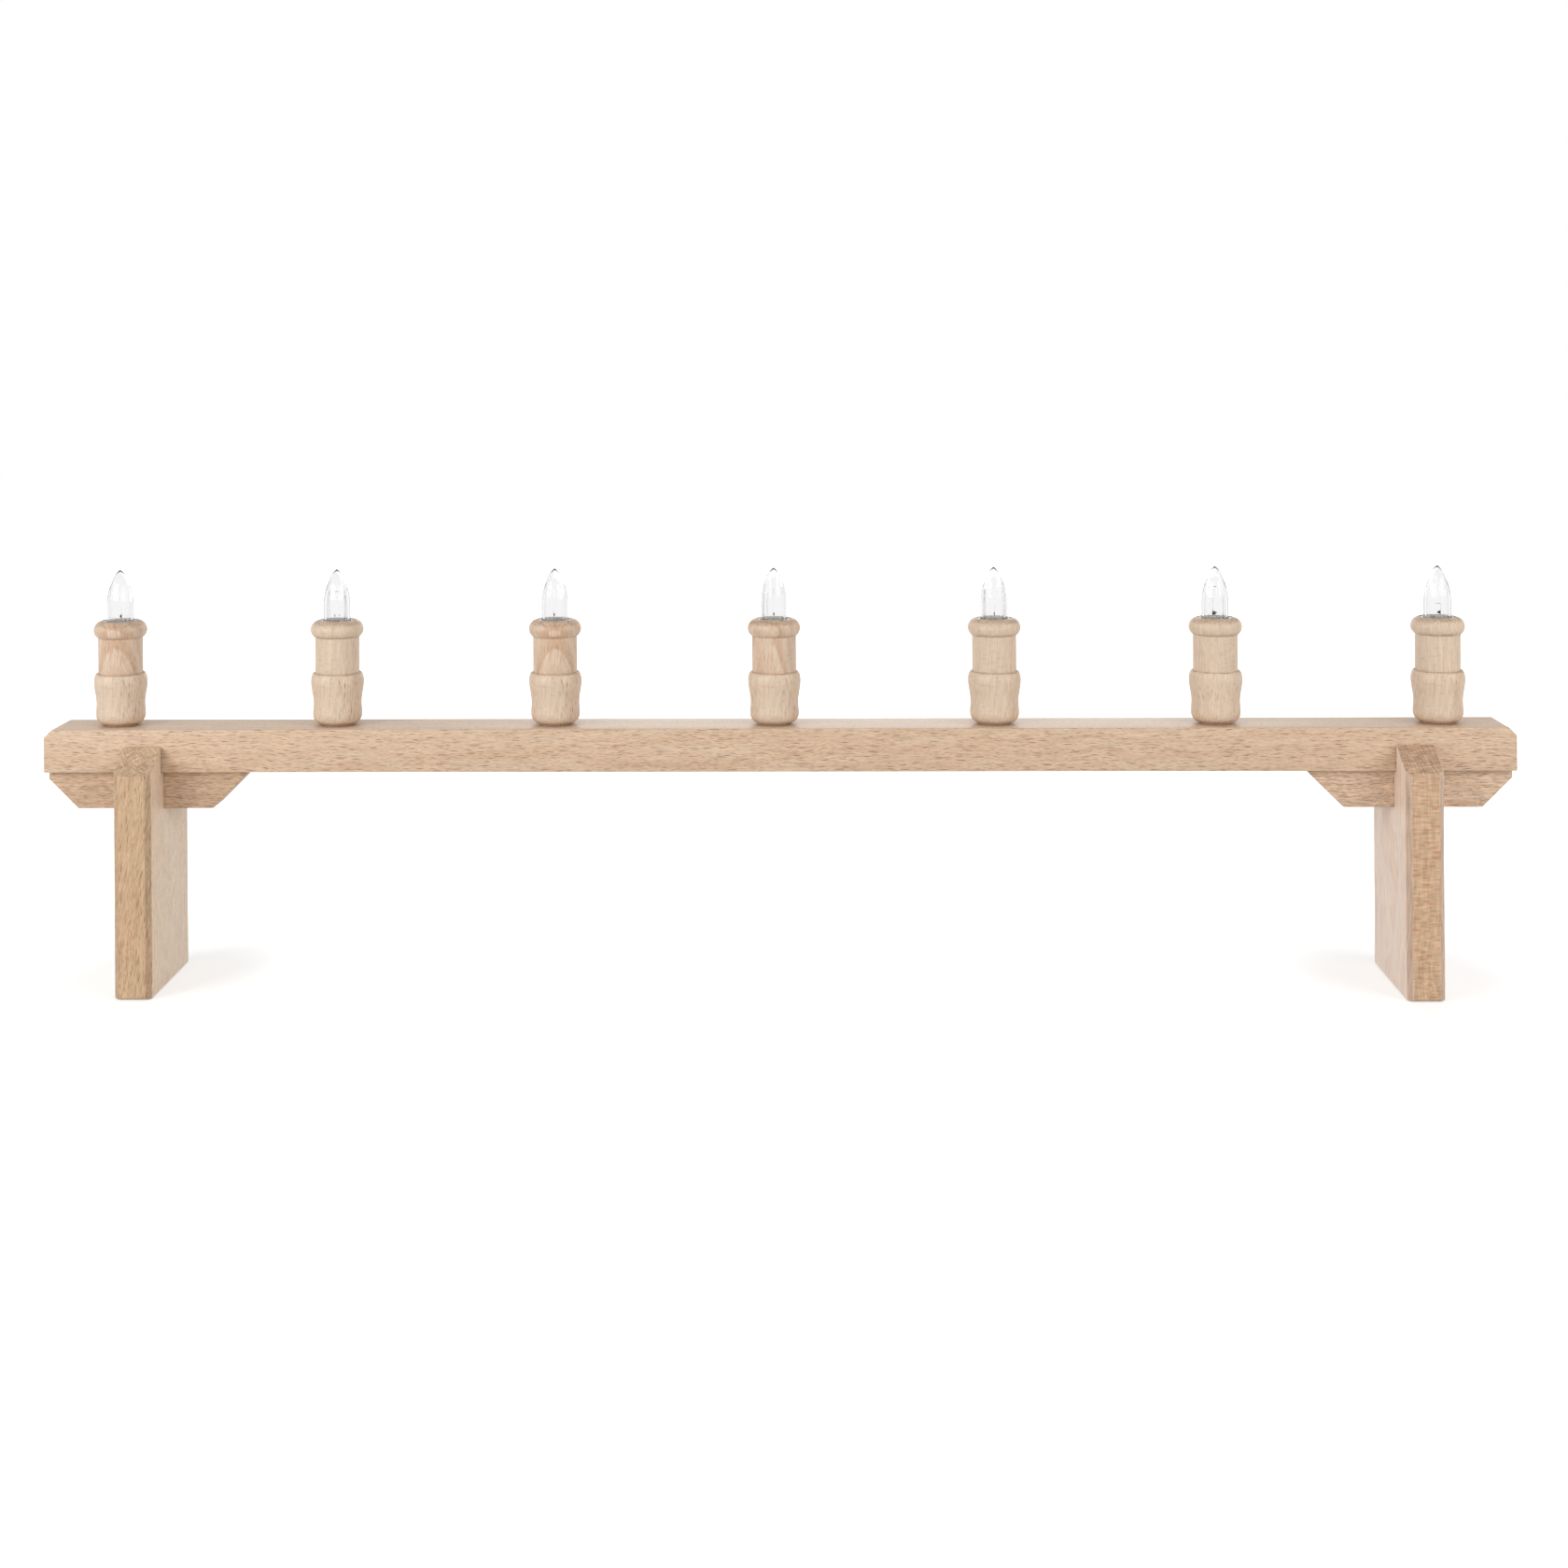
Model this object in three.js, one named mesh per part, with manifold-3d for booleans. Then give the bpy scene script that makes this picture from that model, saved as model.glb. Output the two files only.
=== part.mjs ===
// A wooden candle bar: a straight beech bar on two forked legs, carrying seven
// turned wooden candles, each with a small lamp that screws into a lampholder.
// Millimetres, +Z up, +X along the bar, the front towards -Y.
// The origin is on the floor, under the middle of the bar.

import * as THREE from 'three';
import { mergeVertices } from 'three/addons/utils/BufferGeometryUtils.js';
import Module from 'manifold-3d';

const wasm = await Module();
wasm.setup();

// Gap kept between pieces that sit in or around each other.
const fitGap = 0.3;

// How far a cutting solid runs past what it cuts.
const overcut = 1;

// The bar, with its underside's height above the floor.
const barLength = 700;
const barDepth = 30;
const barHeight = 20.5;
const barUnderside = 103.5;
const barEndChamfer = 3.8;

// The two legs: boards on edge, forked around the bar.
const legEndDistance = 47.8;
const legThickness = 18;
const prongDepth = 19.7;
const prongHeight = 12.5;
const prongSlopeDrop = 10.6;
const legEdgeChamfer = 2.8;
const legFootChamfer = 1.2;

// The brackets under the bar, one through each leg.
const bracketDepth = 20.5;
const bracketHeight = 18;
const bracketFootLength = 65.4;
const bracketEndInset = 1;

// Twin wire, and the groove that it lies in under the bar.
const wireThickness = 1.8;
const wireBoreMargin = 1.3;
const grooveWidth = 8;
const grooveDepth = 8;
const grooveEndMargin = 6;
const coverThickness = 2.5;
const coverLedge = 2.5;
const cordOutletLength = 10;

// The lamp: glass on a threaded cap with a centre contact.
const lampCount = 7;
const lampLength = 44.6;
const bulbRadius = 6.36;
const bulbWall = 0.6;
const bulbTaperLength = 17.9;
const bulbTaperPower = 0.8;
const bulbShoulderLength = 3;
const capRadius = 4.75;
const capLength = 9.3;
const capWall = 0.4;
const capFloor = 0.5;
const neckInCap = 6.6;
const contactRise = 2;
const contactRadius = 3;
const contactTipRadius = 1.5;
const contactStemRadius = 1.9;
const contactStemLength = 1.7;
const contactEdge = 0.5;
const stemLength = 9.5;
const stemTopRadius = 1.9;
const leadSpread = 1.4;
const leadRadius = 0.28;
const leadHeight = 10.5;
const leadRoot = 1;

// The lampholder that the cap screws into.
const mouthGap = 0.55;
const mouthDepth = 8.4;
const capBoreDepth = 10.7;
const holderWall = 1.1;
const holderFloor = 2.5;
const holderChamberDepth = 4.4;
const holderChamberRadius = 6;
const holderRecess = 1.5;

// The sleeve: a turned tube that ends in a round rim.
const sleeveWall = 2.3;
const sleeveStraight = 17;
const sleeveWireMargin = 2.2;
const rimRadius = 4.5;
const rimInset = 0.15;

// The turned cup that carries the sleeve, from its base upwards.
const candleEndDistance = 33.2;
const cupBaseNarrowing = 2.8;
const cupBulgeHeight = 5.3;
const cupBulge = 0.3;
const cupWaistRise = 5.3;
const cupWaistDip = 1.18;
const cupBellyRise = 10.4;
const cupLipRise = 4.3;
const cupLipRounding = 1.57;
const cupLipWall = 0.2;
const cupSocketDepth = 9;
const cupSeatWidth = 2;
const tenonLength = 6;

// How finely the round pieces are faceted.
const woodSides = 16;
const lampSides = 12;
const smallSides = 8;
const wireArcSteps = 2;
const outerTaperSteps = 6;
const innerTaperSteps = 3;

// Values that follow from the ones above.
const barTop = barUnderside + barHeight;
const legX = barLength / 2 - legEndDistance;
const legDepth = barDepth + 2 * (fitGap + prongDepth);
const bracketInnerX = legX - bracketFootLength / 2 - bracketHeight;
const bracketOuterX = barLength / 2 - bracketEndInset;
const candlePitch = (barLength - 2 * candleEndDistance) / (lampCount - 1);
const firstCandleX = candleEndDistance - barLength / 2;
const lastCandleX = firstCandleX + (lampCount - 1) * candlePitch;
const wireWidth = 2 * wireThickness;
const wireBoreRadius = wireWidth / 2 + wireBoreMargin;

const holderMouthRadius = bulbRadius + mouthGap;
const holderRadius = holderMouthRadius + holderWall;
const holderLength = mouthDepth + capBoreDepth + holderFloor + holderChamberDepth;
const capBoreRadius = capRadius + fitGap;

const sleeveBoreRadius = holderRadius + fitGap;
const sleeveRadius = sleeveBoreRadius + sleeveWall;
const rimCentreRadius = sleeveBoreRadius - rimInset;
const rimSleeveAngle = -Math.acos((sleeveRadius - rimCentreRadius) / rimRadius);
const rimBoreAngle = Math.acos(rimInset / rimRadius);
const sleeveWireRadius = wireBoreRadius + sleeveWireMargin;

const cupSocketRadius = sleeveRadius + fitGap;
const cupLipRadius = cupSocketRadius + cupLipWall;
const cupBellyRadius = cupLipRadius + cupLipRounding;
const cupWaistRadius = cupBellyRadius - cupWaistDip;
const cupBulgeRadius = cupWaistRadius + cupBulge;
const cupBaseRadius = cupBulgeRadius - cupBaseNarrowing;
const tenonRadius = cupBaseRadius - cupSeatWidth;
const cupWaistHeight = cupBulgeHeight + cupWaistRise;
const cupBellyHeight = cupWaistHeight + cupBellyRise;
const cupHeight = cupBellyHeight + cupLipRise;
const cupSocketFloor = cupHeight - cupSocketDepth;

// Heights in a candle, above the top of the bar.
const rimCentreHeight = cupHeight + sleeveStraight - rimRadius * Math.sin(rimSleeveAngle);
const rimTop = rimCentreHeight + rimRadius * Math.sin(rimBoreAngle);
const holderTop = rimTop - holderRecess;
const holderBottom = holderTop - holderLength;
const holderFloorTop = holderTop - mouthDepth - capBoreDepth;
const chamberTop = holderFloorTop - holderFloor;
const lampBottom = holderFloorTop + fitGap;
const lampTop = lampBottom + lampLength;
const capBottom = lampBottom + contactRise;
const capTop = capBottom + capLength;
const neckRadius = capRadius - capWall - fitGap;
const neckInnerRadius = neckRadius - bulbWall;
const neckBottom = capTop - neckInCap;
const shoulderBottom = capTop + fitGap;
const shoulderTop = shoulderBottom + bulbShoulderLength;
const taperBottom = lampTop - bulbTaperLength;
const leadTop = neckBottom + stemLength + leadHeight;

// Colours, by material.
const finishes = {
  barWood: { color: 0xd5b798, roughness: 0.62, metalness: 0 },
  legWood: { color: 0xcdae8d, roughness: 0.62, metalness: 0 },
  bracketWood: { color: 0xc7a98c, roughness: 0.65, metalness: 0 },
  turnedWood: { color: 0xd8c0a6, roughness: 0.58, metalness: 0 },
  coverWood: { color: 0xc9ad8c, roughness: 0.7, metalness: 0 },
  holderPlastic: { color: 0xb9bbbd, roughness: 0.45, metalness: 0 },
  clearGlass: { color: 0xf4f6f6, roughness: 0.05, metalness: 0, transparent: true, opacity: 0.35 },
  platedBrass: { color: 0xc9b88a, roughness: 0.3, metalness: 1 },
  solder: { color: 0x9a9a9a, roughness: 0.4, metalness: 1 },
  leadWire: { color: 0x5a5450, roughness: 0.4, metalness: 1 },
  wireCover: { color: 0xe9e7e2, roughness: 0.5, metalness: 0 },
};

function addPiece(parent, name, geometry, finish) {
  const piece = new THREE.Mesh(geometry, new THREE.MeshStandardMaterial(finishes[finish]));
  piece.name = name;
  parent.add(piece);
  return piece;
}

function points(...pairs) {
  return pairs.map(([x, y]) => new THREE.Vector2(x, y));
}

// A solid turned about Z from [radius, height] points, ring or open to the axis.
function turned(profile, sides) {
  return new THREE.LatheGeometry(profile, sides).rotateX(Math.PI / 2);
}

// The same, for a profile that goes round and closes on its first point.
function turnedRing(profile, sides) {
  return turned([...profile, profile[0].clone()], sides);
}

function extruded(outline, length) {
  const options = { depth: length, steps: 1, bevelEnabled: false, curveSegments: wireArcSteps };
  return new THREE.ExtrudeGeometry(outline, options);
}

// An outline drawn in X and Z, extruded along Y and centred on it.
function extrudedAlongY(outline, depth) {
  return extruded(outline, depth).rotateX(Math.PI / 2).translate(0, depth / 2, 0);
}

// An outline drawn in Y and Z, extruded along X and centred on it.
function extrudedAlongX(outline, length) {
  const bar = extruded(outline, length).rotateX(Math.PI / 2).rotateZ(Math.PI / 2);
  return bar.translate(-length / 2, 0, 0);
}

function block(minX, maxX, minY, maxY, minZ, maxZ) {
  const geometry = new THREE.BoxGeometry(maxX - minX, maxY - minY, maxZ - minZ);
  return geometry.translate((minX + maxX) / 2, (minY + maxY) / 2, (minZ + maxZ) / 2);
}

// A closed geometry as a solid that can be joined and cut.
function toSolid(geometry) {
  const bare = geometry.clone();
  bare.deleteAttribute('normal');
  bare.deleteAttribute('uv');
  const merged = mergeVertices(bare, 1e-4);
  const corners = merged.index.array;
  const triangles = [];
  for (let i = 0; i < corners.length; i += 3) {
    const [a, b, c] = corners.slice(i, i + 3);
    if (a !== b && b !== c && c !== a) {
      triangles.push(a, b, c);
    }
  }
  return new wasm.Manifold(new wasm.Mesh({
    numProp: 3,
    vertProperties: Float32Array.from(merged.attributes.position.array),
    triVerts: Uint32Array.from(triangles),
  }));
}

function toGeometry(solid) {
  const mesh = solid.getMesh();
  const geometry = new THREE.BufferGeometry();
  geometry.setAttribute('position', new THREE.BufferAttribute(mesh.vertProperties, 3));
  geometry.setIndex(new THREE.BufferAttribute(mesh.triVerts, 1));
  geometry.computeVertexNormals();
  return geometry;
}

// A run of points on an ellipse quarter or less, angles measured from +radius.
function ellipseArc(centre, radii, startAngle, endAngle, steps) {
  const arc = [];
  for (let i = 0; i <= steps; i++) {
    const angle = startAngle + (endAngle - startAngle) * (i / steps);
    const x = centre[0] + radii[0] * Math.cos(angle);
    const y = centre[1] + radii[1] * Math.sin(angle);
    arc.push(new THREE.Vector2(x, y));
  }
  return arc;
}

// A smooth swell from one radius and height to another, without its two ends.
function swell(from, to, steps) {
  const run = [];
  for (let i = 1; i < steps; i++) {
    const share = i / steps;
    const blend = (1 - Math.cos(Math.PI * share)) / 2;
    const radius = THREE.MathUtils.lerp(from[0], to[0], blend);
    run.push(new THREE.Vector2(radius, THREE.MathUtils.lerp(from[1], to[1], share)));
  }
  return run;
}

// The section of the twin wire: two round wires side by side, in one skin.
function twinWireOutline() {
  const radius = wireThickness / 2;
  const side = wireWidth / 2 - radius;
  const outline = new THREE.Shape();
  outline.absarc(side, 0, radius, -Math.PI / 2, Math.PI / 2, false);
  outline.absarc(-side, 0, radius, Math.PI / 2, 1.5 * Math.PI, false);
  return outline;
}

function candleX(index) {
  return firstCandleX + index * candlePitch;
}

function makeBar() {
  const outline = new THREE.Shape(points(
    [-barLength / 2, barUnderside],
    [barLength / 2, barUnderside],
    [barLength / 2, barTop - barEndChamfer],
    [barLength / 2 - barEndChamfer, barTop],
    [barEndChamfer - barLength / 2, barTop],
    [-barLength / 2, barTop - barEndChamfer],
  ));
  const grooveTop = barUnderside + grooveDepth;
  const grooveEnd = lastCandleX + grooveEndMargin;
  const rebateSide = grooveWidth / 2 + coverLedge;
  const rebateTop = barUnderside + coverThickness + fitGap;
  const below = barUnderside - overcut;
  let bar = toSolid(extrudedAlongY(outline, barDepth));
  bar = bar.subtract(toSolid(
    block(-grooveEnd, grooveEnd, -grooveWidth / 2, grooveWidth / 2, below, grooveTop),
  ));
  bar = bar.subtract(toSolid(
    block(-bracketInnerX, bracketInnerX, -rebateSide, rebateSide, below, rebateTop),
  ));
  const mortiseFloor = barTop - tenonLength - fitGap;
  const candleHole = turned(points(
    [0, grooveTop - overcut],
    [wireBoreRadius, grooveTop - overcut],
    [wireBoreRadius, mortiseFloor],
    [tenonRadius + fitGap, mortiseFloor],
    [tenonRadius + fitGap, barTop + overcut],
    [0, barTop + overcut],
  ), lampSides);
  for (let i = 0; i < lampCount; i++) {
    bar = bar.subtract(toSolid(candleHole.clone().translate(candleX(i), 0, 0)));
  }
  return toGeometry(bar);
}

// The strip that closes the groove between the brackets. It stops short at the
// left, where the supply cord goes in.
function makeGrooveCover() {
  const side = grooveWidth / 2 + coverLedge - fitGap;
  const left = cordOutletLength - bracketInnerX;
  const right = bracketInnerX - fitGap;
  return block(left, right, -side, side, barUnderside, barUnderside + coverThickness);
}

function makeLeg() {
  const outer = legDepth / 2;
  const barSide = barDepth / 2 + fitGap;
  const bracketSide = bracketDepth / 2 + fitGap;
  const notchFloor = barUnderside - bracketHeight;
  const prongTop = barUnderside + prongHeight;
  const board = new THREE.Shape(points(
    [-outer + legFootChamfer, 0],
    [outer - legFootChamfer, 0],
    [outer, legFootChamfer],
    [outer, prongTop - prongSlopeDrop],
    [barSide, prongTop],
    [barSide, barUnderside],
    [bracketSide, barUnderside],
    [bracketSide, notchFloor],
    [-bracketSide, notchFloor],
    [-bracketSide, barUnderside],
    [-barSide, barUnderside],
    [-barSide, prongTop],
    [-outer, prongTop - prongSlopeDrop],
    [-outer, legFootChamfer],
  ));
  const side = legThickness / 2;
  const inX = side - legEdgeChamfer;
  const inY = outer - legEdgeChamfer;
  const section = new THREE.Shape(points(
    [-inX, -outer],
    [inX, -outer],
    [side, -inY],
    [side, inY],
    [inX, outer],
    [-inX, outer],
    [-side, inY],
    [-side, -inY],
  ));
  const post = extruded(section, prongTop + 2 * overcut).translate(0, 0, -overcut);
  return toGeometry(toSolid(extrudedAlongX(board, legThickness)).intersect(toSolid(post)));
}

function makeBracket() {
  const half = bracketFootLength / 2;
  const bottom = barUnderside - bracketHeight;
  const outerReach = bracketOuterX - legX;
  const cutDrop = half + bracketHeight - outerReach;
  const outline = new THREE.Shape(points(
    [-half, bottom],
    [half, bottom],
    [outerReach, barUnderside - cutDrop],
    [outerReach, barUnderside],
    [-half - bracketHeight, barUnderside],
  ));
  return extrudedAlongY(outline, bracketDepth);
}

// One run along the groove, with a branch up into each lampholder.
function makeWiringHarness() {
  const outline = twinWireOutline();
  const runHeight = barUnderside + grooveDepth - fitGap - wireThickness / 2;
  const runLength = lastCandleX - firstCandleX + wireWidth;
  const run = extrudedAlongX(outline, runLength).translate(0, 0, runHeight);
  const branchTop = barTop + chamberTop - fitGap;
  const branch = extruded(outline, branchTop - runHeight).translate(0, 0, runHeight);
  let harness = toSolid(run);
  for (let i = 0; i < lampCount; i++) {
    harness = harness.add(toSolid(branch.clone().translate(candleX(i), 0, 0)));
  }
  return toGeometry(harness);
}

function makeCup() {
  return turnedRing([
    ...points([wireBoreRadius, -tenonLength], [tenonRadius, -tenonLength], [tenonRadius, 0]),
    ...ellipseArc(
      [cupBaseRadius, cupBulgeHeight], [cupBaseNarrowing, cupBulgeHeight], -Math.PI / 2, 0, 3,
    ),
    ...swell([cupBulgeRadius, cupBulgeHeight], [cupWaistRadius, cupWaistHeight], 2),
    new THREE.Vector2(cupWaistRadius, cupWaistHeight),
    ...swell([cupWaistRadius, cupWaistHeight], [cupBellyRadius, cupBellyHeight], 3),
    ...ellipseArc([cupLipRadius, cupBellyHeight], [cupLipRounding, cupLipRise], 0, Math.PI / 2, 3),
    ...points(
      [cupSocketRadius, cupHeight],
      [cupSocketRadius, cupSocketFloor],
      [wireBoreRadius, cupSocketFloor],
    ),
  ], woodSides);
}

function makeSleeve() {
  return turnedRing([
    ...points([sleeveWireRadius, cupSocketFloor], [sleeveRadius, cupSocketFloor]),
    ...ellipseArc(
      [rimCentreRadius, rimCentreHeight], [rimRadius, rimRadius], rimSleeveAngle, rimBoreAngle, 7,
    ),
    ...points([sleeveBoreRadius, holderBottom], [sleeveWireRadius, holderBottom]),
  ], woodSides);
}

function makeLampholder() {
  return turned(points(
    [0, chamberTop],
    [holderChamberRadius, chamberTop],
    [holderChamberRadius, holderBottom],
    [holderRadius, holderBottom],
    [holderRadius, holderTop],
    [holderMouthRadius, holderTop],
    [holderMouthRadius, holderTop - mouthDepth],
    [capBoreRadius, holderTop - mouthDepth],
    [capBoreRadius, holderFloorTop],
    [0, holderFloorTop],
  ), lampSides);
}

function makeCap() {
  const holeRadius = contactStemRadius + fitGap;
  return turnedRing(points(
    [holeRadius, capBottom],
    [capRadius, capBottom],
    [capRadius, capTop],
    [capRadius - capWall, capTop],
    [capRadius - capWall, capBottom + capFloor],
    [holeRadius, capBottom + capFloor],
  ), lampSides);
}

// The insulating button under the cap, with the solder tip that it holds.
function makeContact() {
  const shoulder = capBottom - fitGap;
  return turned(points(
    [0, lampBottom],
    [contactTipRadius, lampBottom],
    [contactRadius, shoulder - contactEdge],
    [contactRadius, shoulder],
    [contactStemRadius, shoulder],
    [contactStemRadius, shoulder + contactStemLength],
    [0, shoulder + contactStemLength],
  ), smallSides);
}

// The glass from its straight part to the tip, with shorter steps near the tip.
function taperPoints(baseRadius, length, steps) {
  const taper = [];
  for (let i = 0; i <= steps; i++) {
    const share = Math.sin((Math.PI / 2) * (i / steps));
    const radius = baseRadius * Math.max(0, 1 - share ** 2) ** bulbTaperPower;
    taper.push(new THREE.Vector2(radius, taperBottom + share * length));
  }
  return taper;
}

function makeBulbGlass() {
  const innerRadius = bulbRadius - bulbWall;
  const innerTaper = bulbTaperLength - 2 * bulbWall;
  const outside = taperPoints(bulbRadius, bulbTaperLength, outerTaperSteps);
  const inside = taperPoints(innerRadius, innerTaper, innerTaperSteps).reverse();
  return turned([
    ...inside,
    ...points(
      [innerRadius, shoulderTop],
      [neckInnerRadius, shoulderBottom],
      [neckInnerRadius, neckBottom],
      [neckRadius, neckBottom],
      [neckRadius, shoulderBottom],
      [bulbRadius, shoulderTop],
    ),
    ...outside,
  ], lampSides);
}

// The glass stem with its two lead wires and the filament between them.
function makeFilament() {
  const stemTop = neckBottom + stemLength;
  const stemRadius = neckInnerRadius - fitGap;
  const stem = turned(points(
    [0, neckBottom],
    [stemRadius, neckBottom],
    [stemTopRadius, stemTop],
    [0, stemTop],
  ), smallSides);
  const route = new THREE.CatmullRomCurve3([
    new THREE.Vector3(-leadSpread, 0, stemTop - leadRoot),
    new THREE.Vector3(-leadSpread, 0, stemTop + leadHeight / 2),
    new THREE.Vector3(-leadSpread, 0, leadTop - leadSpread),
    new THREE.Vector3(0, 0, leadTop),
    new THREE.Vector3(leadSpread, 0, leadTop - leadSpread),
    new THREE.Vector3(leadSpread, 0, stemTop + leadHeight / 2),
    new THREE.Vector3(leadSpread, 0, stemTop - leadRoot),
  ]);
  const section = new THREE.Shape();
  section.absarc(0, 0, leadRadius, 0, 2 * Math.PI, false);
  const options = { steps: 12, bevelEnabled: false, curveSegments: 3, extrudePath: route };
  const leads = new THREE.ExtrudeGeometry(section, options);
  return toGeometry(toSolid(stem).add(toSolid(leads)));
}

const candleBar = new THREE.Group();

const frame = new THREE.Group();
candleBar.add(frame);
addPiece(frame, 'bar', makeBar(), 'barWood');
addPiece(frame, 'groove_cover', makeGrooveCover(), 'coverWood');
addPiece(frame, 'wiring_harness', makeWiringHarness(), 'wireCover');
for (const [side, sign] of [['left', -1], ['right', 1]]) {
  const leg = addPiece(frame, `${side}_leg`, makeLeg(), 'legWood');
  leg.position.x = sign * legX;
  const bracket = addPiece(frame, `${side}_bracket`, makeBracket(), 'bracketWood');
  bracket.position.x = sign * legX;
  bracket.rotation.z = sign < 0 ? Math.PI : 0;
}

for (let i = 0; i < lampCount; i++) {
  const candle = new THREE.Group();
  candle.position.set(candleX(i), 0, barTop);
  candleBar.add(candle);
  const number = i + 1;
  addPiece(candle, `candle_${number}_cup`, makeCup(), 'turnedWood');
  addPiece(candle, `candle_${number}_sleeve`, makeSleeve(), 'turnedWood');
  addPiece(candle, `candle_${number}_lampholder`, makeLampholder(), 'holderPlastic');
  addPiece(candle, `lamp_${number}_contact`, makeContact(), 'solder');
  addPiece(candle, `lamp_${number}_cap`, makeCap(), 'platedBrass');
  addPiece(candle, `lamp_${number}_filament`, makeFilament(), 'leadWire');
  addPiece(candle, `lamp_${number}_glass`, makeBulbGlass(), 'clearGlass');
}

export default candleBar;
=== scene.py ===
from math import acos, atan2, cos, hypot, pi, radians, sin

import bmesh
import bpy
from mathutils import Matrix, Vector


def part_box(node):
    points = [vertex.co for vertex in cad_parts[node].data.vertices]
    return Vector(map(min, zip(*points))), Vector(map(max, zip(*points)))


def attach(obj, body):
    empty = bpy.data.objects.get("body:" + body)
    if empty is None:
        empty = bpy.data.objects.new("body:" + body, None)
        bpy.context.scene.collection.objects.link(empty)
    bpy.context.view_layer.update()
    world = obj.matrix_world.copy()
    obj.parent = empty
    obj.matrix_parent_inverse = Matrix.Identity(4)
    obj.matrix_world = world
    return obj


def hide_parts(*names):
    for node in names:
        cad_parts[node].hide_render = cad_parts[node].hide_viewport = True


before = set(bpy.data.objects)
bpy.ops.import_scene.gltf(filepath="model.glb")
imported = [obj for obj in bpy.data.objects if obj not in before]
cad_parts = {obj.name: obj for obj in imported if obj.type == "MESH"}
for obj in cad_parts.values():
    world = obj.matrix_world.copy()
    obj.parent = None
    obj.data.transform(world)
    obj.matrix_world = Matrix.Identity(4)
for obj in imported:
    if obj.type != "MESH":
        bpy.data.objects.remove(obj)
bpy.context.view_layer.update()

mm = 0.001
lampCount = sum(name.endswith("_glass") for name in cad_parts)


# Camera, level and shifted down, so that upright lines stay upright

cameraSettings = {
    "place": (0.0235, -1.1599, 0.3211),
    "turn": 0.02822,
    "roll": -0.00666,
    "imageSize": 1680,
    "focalLength": 2583.8,  # pixels
    "centre": (806.4, 336.2),  # pixel that the level line of sight goes through
    "sensor": 36.0,
}


def makeCamera(settings):
    size = settings["imageSize"]
    data = bpy.data.cameras.new("camera")
    data.sensor_width = settings["sensor"]
    data.lens = settings["focalLength"] / size * settings["sensor"]
    data.shift_x = 0.5 - settings["centre"][0] / size
    data.shift_y = settings["centre"][1] / size - 0.5
    data.clip_start = 0.05
    data.clip_end = 100
    camera = bpy.data.objects.new("camera", data)
    turn = Matrix.Rotation(settings["turn"], 4, "Z")
    upright = Matrix.Rotation(pi / 2, 4, "X")
    roll = Matrix.Rotation(settings["roll"], 4, "Z")
    camera.matrix_world = Matrix.Translation(settings["place"]) @ turn @ upright @ roll
    bpy.context.scene.collection.objects.link(camera)
    bpy.context.scene.camera = camera


makeCamera(cameraSettings)
print("camera made")


# Short forms for building node trees

def addNode(tree, kind, **values):
    node = tree.nodes.new(kind)
    for name, value in values.items():
        setattr(node, name, value)
    return node


def feed(tree, socket, value):
    if isinstance(value, bpy.types.NodeSocket):
        tree.links.new(value, socket)
    else:
        socket.default_value = value


def maths(tree, operation, *values):
    node = addNode(tree, "ShaderNodeMath", operation=operation)
    for socket, value in zip(node.inputs, values):
        feed(tree, socket, value)
    return node.outputs[0]


def vectorMaths(tree, operation, first, second=None):
    node = addNode(tree, "ShaderNodeVectorMath", operation=operation)
    feed(tree, node.inputs[0], first)
    if operation == "SCALE":
        feed(tree, node.inputs["Scale"], second)
    elif second is not None:
        feed(tree, node.inputs[1], second)
    return node.outputs["Value" if operation in ("LENGTH", "DOT_PRODUCT") else "Vector"]


def mixColours(tree, factor, first, second, blend="MIX"):
    node = addNode(tree, "ShaderNodeMix", data_type="RGBA", blend_type=blend)
    feed(tree, node.inputs["Factor"], factor)
    feed(tree, node.inputs[6], first)
    feed(tree, node.inputs[7], second)
    return node.outputs[2]


def fade(tree, value, start, end):  # 0 at start, 1 at end, eased
    node = addNode(tree, "ShaderNodeMapRange", interpolation_type="SMOOTHSTEP")
    feed(tree, node.inputs["Value"], value)
    feed(tree, node.inputs["From Min"], start)
    feed(tree, node.inputs["From Max"], end)
    return node.outputs["Result"]


def noise(tree, vector, scale=1.0, detail=2.0, output="Fac"):
    node = addNode(tree, "ShaderNodeTexNoise")
    feed(tree, node.inputs["Vector"], vector)
    node.inputs["Scale"].default_value = scale
    node.inputs["Detail"].default_value = detail
    return node.outputs[output]


def split(tree, vector):
    node = addNode(tree, "ShaderNodeSeparateXYZ")
    feed(tree, node.inputs[0], vector)
    return node.outputs


def joined(tree, x, y, z):
    node = addNode(tree, "ShaderNodeCombineXYZ")
    for socket, value in zip(node.inputs, (x, y, z)):
        feed(tree, socket, value)
    return node.outputs[0]


def colour(red, green, blue):  # from the 0 to 255 values of a colour picker
    shares = [value / 255 for value in (red, green, blue)]
    plain = [s / 12.92 if s <= 0.04045 else ((s + 0.055) / 1.055) ** 2.4 for s in shares]
    return (*plain, 1.0)


def startGroup(name, inputs, outputs):
    tree = bpy.data.node_groups.new(name, "ShaderNodeTree")
    for title, kind in inputs.items():
        tree.interface.new_socket(title, in_out="INPUT", socket_type="NodeSocket" + kind)
    for title, kind in outputs.items():
        tree.interface.new_socket(title, in_out="OUTPUT", socket_type="NodeSocket" + kind)
    given = addNode(tree, "NodeGroupInput").outputs
    result = addNode(tree, "NodeGroupOutput").inputs
    return tree, given, result


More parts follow.
